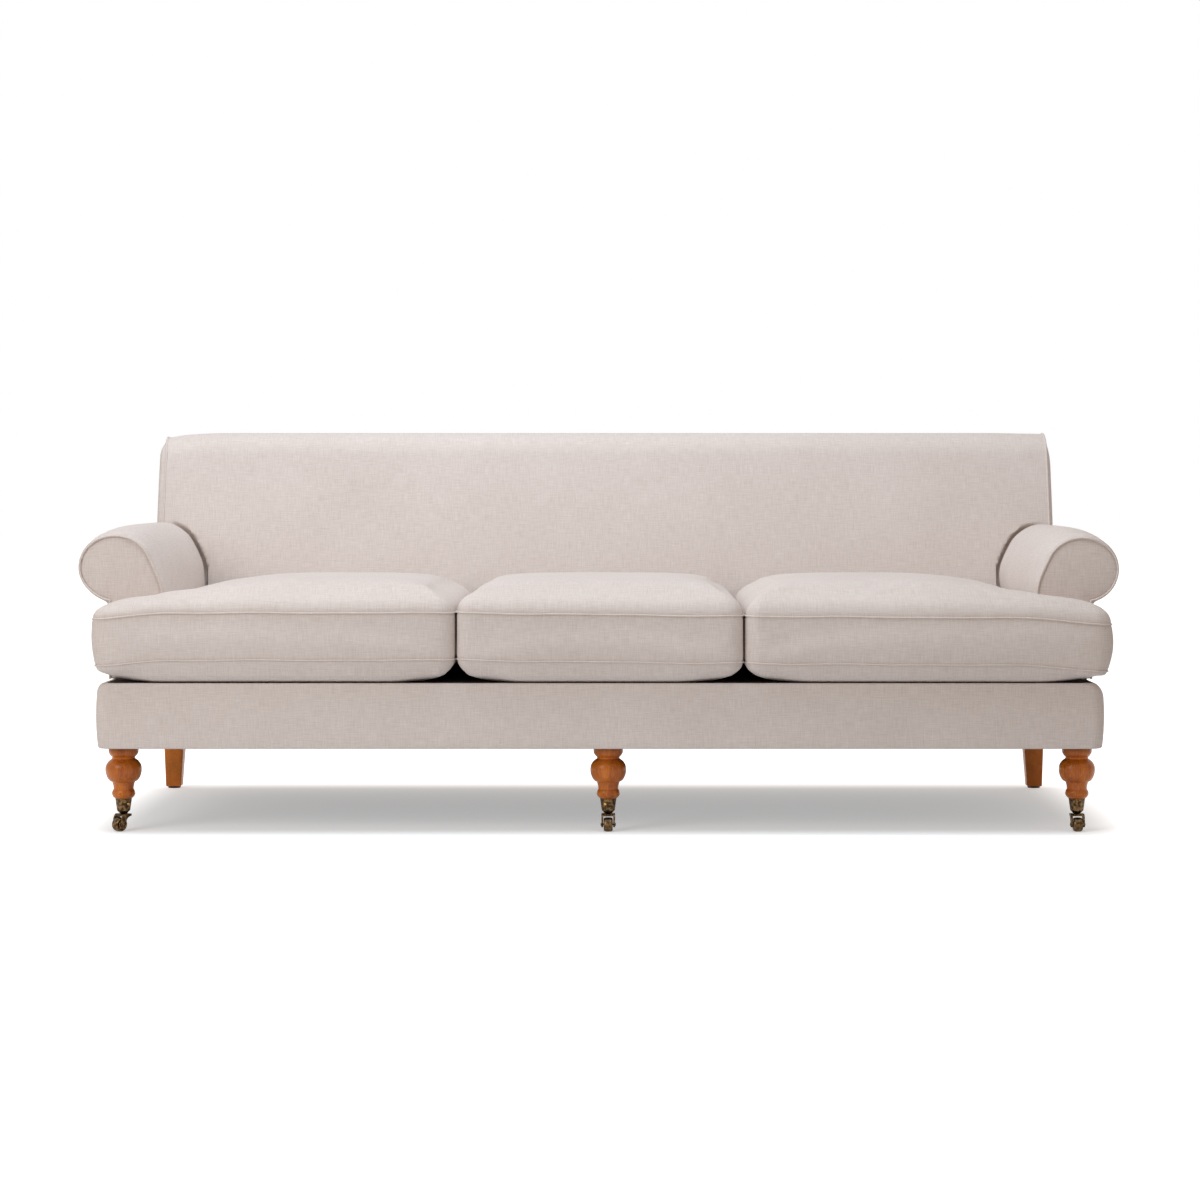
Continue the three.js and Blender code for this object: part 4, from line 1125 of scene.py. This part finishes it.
def base_outline(half, front, rear, radius, steps=8):
    """The base in plan, as (x, y), round the front from the left rear corner to the right one."""
    left = arc((-half + radius, front + radius), (radius, radius), 180, 270, steps)
    right = arc((half - radius, front + radius), (radius, radius), 270, 360, steps)
    return [(-half, rear), *left, *right, (half, rear)]


def border():
    """The upholstered border round the front and both sides of the base."""
    low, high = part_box("base_border")
    thickness = 10 * MM
    outer = base_outline(high.x, low.y, high.y, 30 * MM)
    inner = base_outline(high.x - thickness, low.y + thickness, high.y, 20 * MM)
    ring = outer + inner[::-1]
    piece = drawn_out("border", [(x, y, low.z) for x, y in ring], (0, 0, high.z - low.z))
    levels = [i / 8 for i in range(1, 7)] + [0.8, 0.84, 0.88, 0.91, 0.94, 0.97]
    for level in levels:
        cut_across((0, 0, low.z + (high.z - low.z) * level), (0, 0, 1))
    enter("OBJECT")
    use_modifier(piece, "BEVEL", width=4 * MM, segments=4, limit_method="ANGLE", angle_limit=math.radians(50))
    places = places_of(piece)
    swell = np.sin(math.pi * (places[:, 2] - low.z) / (high.z - low.z)) ** 0.7
    side = np.sign(places[:, 0]) * (np.abs(places[:, 0]) > high.x - 35 * MM)
    radius = np.where(places[:, 0] < 0, 19 * MM, 32 * MM)
    fall = np.clip((places[:, 2] - high.z + radius) / radius, 0, 1)
    places[:, 0] += side * (5 * MM * swell - 0.68 * radius * (1 - np.sqrt(1 - fall**2)))
    reshape(piece, places)
    hand_over(smooth(piece, 50), "root", "linen", ("base_border",))


def deck():
    """The black cloth over the springs, with its wadding, wider in front of the arms."""
    low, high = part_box("seat_deck")
    wall = node_low("right_arm_upholstery").x - 0.3 * MM
    arm_front = node_low("right_arm_facing").y - 0.3 * MM
    piece = start_box("deck", (-wall, low.y, low.z), (wall, high.y, high.z))
    enter("EDIT")
    cut_across((0, arm_front, 0), (0, 1, 0))
    for side in (-1, 1):
        pick("FACE", lambda f: f.normal.x * side > 0.9 and middle(f).y < arm_front)
        move_region((side * (high.x - 6 * MM - wall), 0, 0))
    pick("EDGE", lambda e: along(e, 2) and abs(middle(e).x) > high.x - 7 * MM and middle(e).y < low.y + MM)
    bpy.ops.mesh.bevel(offset=19 * MM, segments=6, affect="EDGES")
    enter("OBJECT")
    use_modifier(piece, "BEVEL", width=3 * MM, segments=3, limit_method="ANGLE", angle_limit=math.radians(50))
    hand_over(smooth(piece, 40), "root", "deck_cloth", ("seat_deck",))


def dust_cover():
    """The thin black cloth tacked under the base."""
    low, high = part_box("dust_cover")
    outline = base_outline(high.x, low.y, high.y, 19 * MM)
    piece = drawn_out("dust_cloth", [(x, y, low.z) for x, y in outline], (0, 0, high.z - low.z))
    enter("OBJECT")
    hand_over(smooth(piece, 30), "root", "dust_cloth", ("dust_cover",))


# Legs and casters

SIDES = ("left", "middle", "right")
TRAIL, AXLE_HEIGHT = 11 * MM, 15 * MM
SCREW_TURNS = {"left": 48, "middle": -24, "right": 118}
CASTER_TURNS = {"left": -40, "middle": 0, "right": 0}


def leg_axis(side):
    low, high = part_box(f"{side}_caster_cup")
    return (low.x + high.x) / 2, (low.y + high.y) / 2


def leg_profile():
    """Radii and heights of a turned leg, from its tapered end in the cup up to its stud."""
    top = node_low("base_border").z - 0.3 * MM
    shoulder = node_high("middle_caster_cup").z + 0.3 * MM
    stud_top = node_high("middle_front_leg").z
    run = node_low("base_border").z - shoulder
    bead, shank, bulb_foot, bulb, bulb_top, neck = (
        shoulder + run * share for share in (0.0943, 0.1775, 0.3253, 0.5656, 0.769, 0.8059)
    )
    face = top - 8 * MM
    bore_top = 60.5 * MM
    points = [(0, bore_top), (3.9 * MM, bore_top), (3.9 * MM, 42.3 * MM), (11.7 * MM, 42.3 * MM)]
    points += [(15.2 * MM, shoulder), (18.3 * MM, shoulder)]
    points += quadratic(points[-1], (24.5 * MM, (shoulder + bead) / 2), (24.5 * MM, bead), 8)
    points += quadratic(points[-1], (24.5 * MM, (bead + shank) / 2), (21 * MM, shank), 8)
    points += quadratic(points[-1], (21 * MM, (shank + bulb_foot) / 2), (24.4 * MM, bulb_foot), 8)
    points += bezier(
        points[-1], (31.3 * MM, bulb_foot), (38.2 * MM, (bulb_foot + bulb) / 2), (38.2 * MM, bulb), 12
    )
    shoulder_in = (31.4 * MM, 2 * bulb_top - neck)
    points += bezier(points[-1], (38.2 * MM, (bulb + bulb_top) / 2), shoulder_in, (24.6 * MM, bulb_top), 12)
    points += [(24.2 * MM, bulb_top + 0.6 * MM), (24 * MM, neck - 0.6 * MM), (24.3 * MM, neck)]
    points += quadratic(points[-1], (31.5 * MM, (neck + face) / 2), (31.5 * MM, face), 8)
    points += [(31.5 * MM, top - 1.2 * MM), (31.1 * MM, top - 0.4 * MM), (30.3 * MM, top)]
    points += [(4.5 * MM, top), (4.5 * MM, stud_top), (0, stud_top)]
    return points


def front_legs():
    """The three turned legs."""
    for side in SIDES:
        piece = turned(f"{side}_turned_leg", leg_profile(), (*leg_axis(side), 0), 64)
        hand_over(smooth(piece, 35), "root", "turned_hardwood", (f"{side}_front_leg",))


def put(piece, matrix):
    """Moves a piece that was made at the origin to its place."""
    piece.matrix_world = matrix
    settle(piece)
    return piece


def cup_profile():
    low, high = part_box("middle_caster_cup")
    foot, rim = low.z, high.z
    outer = [(3.7, 0), (7.0, 0), (7.6, 0.25), (13.2, 5.9), (13.8, 6.6), (14.0, 7.6)]
    points = [(r * MM, foot + h * MM) for r, h in outer]
    points += [(17.3 * MM, rim - 1.2 * MM), (17.4 * MM, rim - 0.5 * MM), (16.9 * MM, rim), (16 * MM, rim)]
    points += [(15.6 * MM, rim - 0.5 * MM), (12 * MM, foot + 4.5 * MM), (3.7 * MM, foot + 4.5 * MM)]
    return points + points[:1]


def caster_cup(side):
    x, y = leg_axis(side)
    return smooth(turned(f"{side}_cup", cup_profile(), (x, y, 0), 48), 35)


def cup_screw(side):
    """The domed screw in the side of a cup, with its slot."""
    low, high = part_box(f"{side}_cup_screw")
    x, y = leg_axis(side)
    head = [(0, 0), (1.5, 0), (1.5, 8.9), (3.2, 8.9), (3.4, 9.2), (3.2, 9.9)]
    head += [(2.5, 10.6), (1.3, 11), (0, 11.1)]
    piece = turned(f"{side}_screw", in_mm(head), steps=24)
    slot = start_box("slot_cutter", (-4 * MM, -0.35 * MM, 10.4 * MM), (4 * MM, 0.35 * MM, 12 * MM))
    cut_away(piece, slot)
    turn = Matrix.Rotation(math.radians(SCREW_TURNS[side]), 4, "Z")
    tip = Matrix.Rotation(math.radians(90), 4, "X") @ Matrix.Rotation(math.radians(20), 4, "Z")
    height = (low.z + high.z) / 2
    place = Matrix.Translation((x, y, height)) @ turn
    return smooth(put(piece, place @ Matrix.Translation((0, -7.5 * MM, 0)) @ tip), 30)


def swivel_place(side):
    x, y = leg_axis(side)
    return Matrix.Translation((x, y, 0)) @ Matrix.Rotation(math.radians(CASTER_TURNS[side]), 4, "Z")


def axle_place(side):
    """The wheel's place, with its own axis along the axle."""
    lift = Matrix.Translation((0, -TRAIL, AXLE_HEIGHT))
    return swivel_place(side) @ lift @ Matrix.Rotation(math.radians(90), 4, "Y")


def caster_yoke(side):
    """The fork over the wheel, on its pintle."""
    head_low, head_top = 32.5 * MM, 37 * MM
    trail, axle, boss, half = TRAIL, AXLE_HEIGHT, 6.2 * MM, 14.5 * MM
    outline = [(10 * MM, head_top), (-10 * MM, head_top)]
    outline += quadratic(outline[-1], (-trail - boss, head_low), (-trail - boss, axle), 8)
    outline += arc((-trail, axle), (boss, boss), 180, 360, 12)[1:]
    outline += quadratic(outline[-1], (-trail + boss, head_low - 1.6 * MM), (10 * MM, head_low), 8)
    piece = drawn_out(f"{side}_yoke", [(-half, y, z) for y, z in outline], (2 * half, 0, 0))
    enter("OBJECT")
    slot = start_box("fork_cutter", (-10.5 * MM, -40 * MM, -2 * MM), (10.5 * MM, 12 * MM, head_low))
    cut_away(piece, slot)
    use_modifier(piece, "BEVEL", width=1 * MM, segments=3, limit_method="ANGLE", angle_limit=math.radians(35))
    pintle = [(0, 36.5), (3.3, 36.5), (3.3, 59.6), (2.9, 60), (0, 60)]
    pin = turned("pintle", in_mm(pintle), steps=20)
    activate(piece)
    pin.select_set(True)
    bpy.ops.object.join()
    return smooth(put(piece, swivel_place(side)), 35)


def caster_wheel(side):
    """The wheel, with a round tread and a dished side round its hub."""
    half = [(2.6, 9.5), (6.2, 9.5), (6.7, 9.2), (7.4, 8.2), (9.6, 8.0), (10.8, 8.6), (11.6, 9.3), (12.6, 9.4)]
    half += [(13.4, 8.6), (14.2, 7.2), (14.7, 5.6), (14.95, 3.4), (15, 1.2)]
    ring = in_mm(half)
    ring += [(r, -x) for r, x in ring[::-1]]
    piece = turned(f"{side}_wheel", ring + ring[:1], steps=48)
    return smooth(put(piece, axle_place(side)), 40)


def axle_pin(side):
    half = [(2.2, 14.8), (3.5, 14.8), (3.6, 15.2), (3.1, 15.8), (1.8, 16.1), (0, 16.1)]
    line = in_mm(half)
    line = [(r, -x) for r, x in line[::-1]] + line
    piece = turned(f"{side}_pin", line, steps=20)
    return smooth(put(piece, axle_place(side)), 40)


def casters():
    """Each front leg's cup, screw, yoke, wheel and axle pin."""
    for side in SIDES:
        swivel = f"{side}_swivel"
        rows = (
            (caster_cup(side), "root", "antique_bronze", "caster_cup"),
            (cup_screw(side), "root", "screw_brass", "cup_screw"),
            (caster_yoke(side), swivel, "antique_bronze", "caster_yoke"),
            (caster_wheel(side), f"{side}_wheel", "wheel_bronze", "caster_wheel"),
            (axle_pin(side), swivel, "antique_bronze", "axle_pin"),
        )
        for piece, body, slot, node in rows:
            hand_over(piece, body, slot, (f"{side}_{node}",))


def rear_legs():
    """The two square tapered rear legs and their glides."""
    for side, sign in (("left", -1), ("right", 1)):
        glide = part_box(f"{side}_rear_glide")
        low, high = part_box(f"{side}_rear_leg")
        x, y = (glide[0].x + glide[1].x) / 2, (glide[0].y + glide[1].y) / 2
        foot, top = 18 * MM, 26.5 * MM
        piece = start_box(f"{side}_tapered_leg", (x - foot, y - foot, low.z), (x + foot, y + foot, high.z))
        places = places_of(piece)
        upper = places[:, 2] > low.z + foot
        centre = np.array([sign * (abs(x) - 15 * MM), low.y + top])
        places[upper, :2] = centre + (places[upper, :2] - (x, y)) * top / foot
        reshape(piece, places)
        use_modifier(piece, "BEVEL", width=3.5 * MM, segments=4)
        hand_over(smooth(piece, 40), "root", "rear_leg_hardwood", (f"{side}_rear_leg",))
        disc = [(0, 0), (14.2, 0), (14.8, 0.5), (15, 1.3), (15, 3.7), (14.7, 4), (0, 4)]
        pad = turned(f"{side}_glide", in_mm(disc), (x, y, 0), 32)
        hand_over(smooth(pad, 35), "root", "glide_plastic", (f"{side}_rear_glide",))


def timbers():
    """The hardwood frame and the springs, which keep their shapes from the frame."""
    found = finishes()
    grained = [found[n] for n in ("frame_hardwood_across", "frame_hardwood_back", "frame_hardwood_up")]
    for name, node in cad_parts.items():
        if node.hide_render:
            continue
        low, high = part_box(name)
        longest = max(range(3), key=lambda axis: high[axis] - low[axis])
        dress(node, found["spring_steel"] if name.endswith("springs") else grained[longest])


# Stage


def lamp(name, place, target, size, power, tone):
    deselect_all()
    bpy.ops.object.light_add(type="AREA", location=place)
    light = bpy.context.object
    light.name = name
    light.data.shape = "RECTANGLE"
    light.data.size, light.data.size_y = size
    light.data.energy = power
    light.data.color = tone
    way = [b - a for a, b in zip(place, target)]
    light.rotation_euler = Vector(way).to_track_quat("-Z", "Y").to_euler()


def seen_directly(tree):
    """1 for rays from the camera, from glossy surfaces and through glass, and 0 for the rest."""
    rays = add(tree, "ShaderNodeLightPath").outputs
    first = maths(tree, "MAXIMUM", rays["Is Camera Ray"], rays["Is Glossy Ray"])
    return maths(tree, "MAXIMUM", first, rays["Is Transmission Ray"])


def stage():
    """The floor, whose painted glow is dimmed under the sofa's footprint to set the grey of the shadow there,
    the room light, the lamps and the camera.
    """
    st = bpy.context.scene.sofa_stage
    deselect_all()
    bpy.ops.mesh.primitive_plane_add(size=60)
    floor = bpy.context.object
    floor.name = "floor"
    material, tree, shader = new_finish("white_floor")
    set_values(shader, {"Base Color": (0.8, 0.8, 0.8, 1), "Emission Color": (1, 1, 1, 1)})
    set_values(shader, {"Roughness": 1, "Specular IOR Level": 0})
    # Painted light and shade: the floor glows for camera and glossy rays, at 0.4 under the sofa's footprint
    # and rising to 1 within 0.2 m outside it. This lifts the shadow under the sofa to a painted flat grey.
    parts = add(tree, "ShaderNodeSeparateXYZ", {"Vector": object_place(tree)})
    outside = []
    for axis, half in (("X", node_high("base_border").x - 0.06), ("Y", node_high("base_border").y - 0.02)):
        away = maths(tree, "SUBTRACT", maths(tree, "ABSOLUTE", parts.outputs[axis]), half)
        outside.append(maths(tree, "MAXIMUM", away))
    away = maths(tree, "SQRT", maths(tree, "ADD", *[maths(tree, "POWER", each, 2) for each in outside]))
    inputs = {"Value": away, "From Max": 0.2, "To Min": 0.4, "To Max": 1}
    level = add(tree, "ShaderNodeMapRange", inputs, interpolation_type="SMOOTHSTEP").outputs["Result"]
    # The painted glow, dimmed under the sofa.
    strength = maths(tree, "MULTIPLY", seen_directly(tree), level)
    tree.links.new(strength, shader.inputs["Emission Strength"])
    floor.data.materials.append(material)
    world = bpy.data.worlds.new("white_room")
    bpy.context.scene.world = world
    world.use_nodes = True
    tree = world.node_tree
    background = tree.nodes["Background"]
    seen = seen_directly(tree)
    tree.links.new(tinted(tree, seen, (1, 0.88, 0.78), (1, 1, 1)), background.inputs["Color"])
    inputs = {"Value": seen, "To Min": st.world_strength * 1.08, "To Max": 1}
    level = add(tree, "ShaderNodeMapRange", inputs).outputs["Result"]
    tree.links.new(level, background.inputs["Strength"])
    lamp("key_light", (-2.5, -2.9, 2.0), (0, 0, 0.45), (1.8, 1.8), st.key_power, (0.95, 0.975, 1))
    lamp("top_light", (-0.3, -0.7, 3.2), (0, 0.1, 0.4), (3.0, 1.6), st.top_power, (0.78, 0.89, 1))
    place = (st.camera_side, -st.camera_distance, st.camera_height)
    bpy.ops.object.camera_add(location=place, rotation=(math.pi / 2, 0, 0))
    camera = bpy.context.object
    camera.data.lens = st.lens
    camera.data.sensor_width = 36
    camera.data.shift_x, camera.data.shift_y = st.shift
    bpy.context.scene.camera = camera
    bpy.context.scene.view_settings.view_transform = "Standard"


# Operators, one for each piece or group of like pieces


class SofaOperator:
    bl_options = {"REGISTER", "UNDO"}

    def execute(self, context):
        type(self).make()
        return {"FINISHED"}


class SOFA_OT_stage(SofaOperator, bpy.types.Operator):
    """Sets up the floor, the lamps and the camera"""

    bl_idname = "sofa.stage"
    bl_label = "Stage"
    make = staticmethod(stage)


class SOFA_OT_base(SofaOperator, bpy.types.Operator):
    """Models the upholstered border, the deck and the dust cover"""

    bl_idname = "sofa.base"
    bl_label = "Base"

    @staticmethod
    def make():
        border()
        deck()
        dust_cover()


class SOFA_OT_arms(SofaOperator, bpy.types.Operator):
    """Models both roll arms with their piped facings"""

    bl_idname = "sofa.arms"
    bl_label = "Arms"
    make = staticmethod(arms)


class SOFA_OT_back(SofaOperator, bpy.types.Operator):
    """Models the tight back, its piping and the outside back"""

    bl_idname = "sofa.back"
    bl_label = "Back"
    make = staticmethod(back)


class SOFA_OT_cushions(SofaOperator, bpy.types.Operator):
    """Models and fills the three seat cushions"""

    bl_idname = "sofa.cushions"
    bl_label = "Seat cushions"
    make = staticmethod(cushions)


class SOFA_OT_front_legs(SofaOperator, bpy.types.Operator):
    """Turns the three front legs"""

    bl_idname = "sofa.front_legs"
    bl_label = "Front legs"
    make = staticmethod(front_legs)


class SOFA_OT_casters(SofaOperator, bpy.types.Operator):
    """Models the cup casters"""

    bl_idname = "sofa.casters"
    bl_label = "Casters"
    make = staticmethod(casters)


class SOFA_OT_rear_legs(SofaOperator, bpy.types.Operator):
    """Models the rear legs and their glides"""

    bl_idname = "sofa.rear_legs"
    bl_label = "Rear legs"
    make = staticmethod(rear_legs)


class SOFA_OT_timbers(SofaOperator, bpy.types.Operator):
    """Finishes the hardwood frame and the springs"""

    bl_idname = "sofa.timbers"
    bl_label = "Frame and springs"
    make = staticmethod(timbers)


OPERATORS = (
    SOFA_OT_stage,
    SOFA_OT_base,
    SOFA_OT_arms,
    SOFA_OT_back,
    SOFA_OT_cushions,
    SOFA_OT_front_legs,
    SOFA_OT_casters,
    SOFA_OT_rear_legs,
    SOFA_OT_timbers,
)


class SOFA_PT_panel(bpy.types.Panel):
    """Sizes, colours and operators of the sofa"""

    bl_idname = "SOFA_PT_panel"
    bl_label = "Roll arm sofa"
    bl_space_type = "VIEW_3D"
    bl_region_type = "UI"
    bl_category = "Sofa"

    def draw(self, context):
        for group in (context.scene.sofa_sizes, context.scene.sofa_colours, context.scene.sofa_stage):
            box = self.layout.box()
            for name in group.bl_rna.properties.keys():
                if name not in ("rna_type", "name"):
                    box.prop(group, name)
        for operator in OPERATORS:
            self.layout.operator(operator.bl_idname)


GROUPS = {"sofa_sizes": SofaSizes, "sofa_colours": SofaColours, "sofa_stage": SofaStage}


def register():
    for each in (*GROUPS.values(), *OPERATORS, SOFA_PT_panel):
        bpy.utils.register_class(each)
    for name, group in GROUPS.items():
        setattr(bpy.types.Scene, name, bpy.props.PointerProperty(type=group))


def unregister():
    for name in GROUPS:
        delattr(bpy.types.Scene, name)
    for each in reversed((*GROUPS.values(), *OPERATORS, SOFA_PT_panel)):
        bpy.utils.unregister_class(each)


def main():
    register()
    for operator in OPERATORS:
        call = getattr(bpy.ops.sofa, operator.bl_idname.split(".")[1])
        if call() != {"FINISHED"}:
            raise RuntimeError(f"{operator.bl_label} was not made")
    deselect_all()
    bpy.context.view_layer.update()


if __name__ == "__main__":
    main()
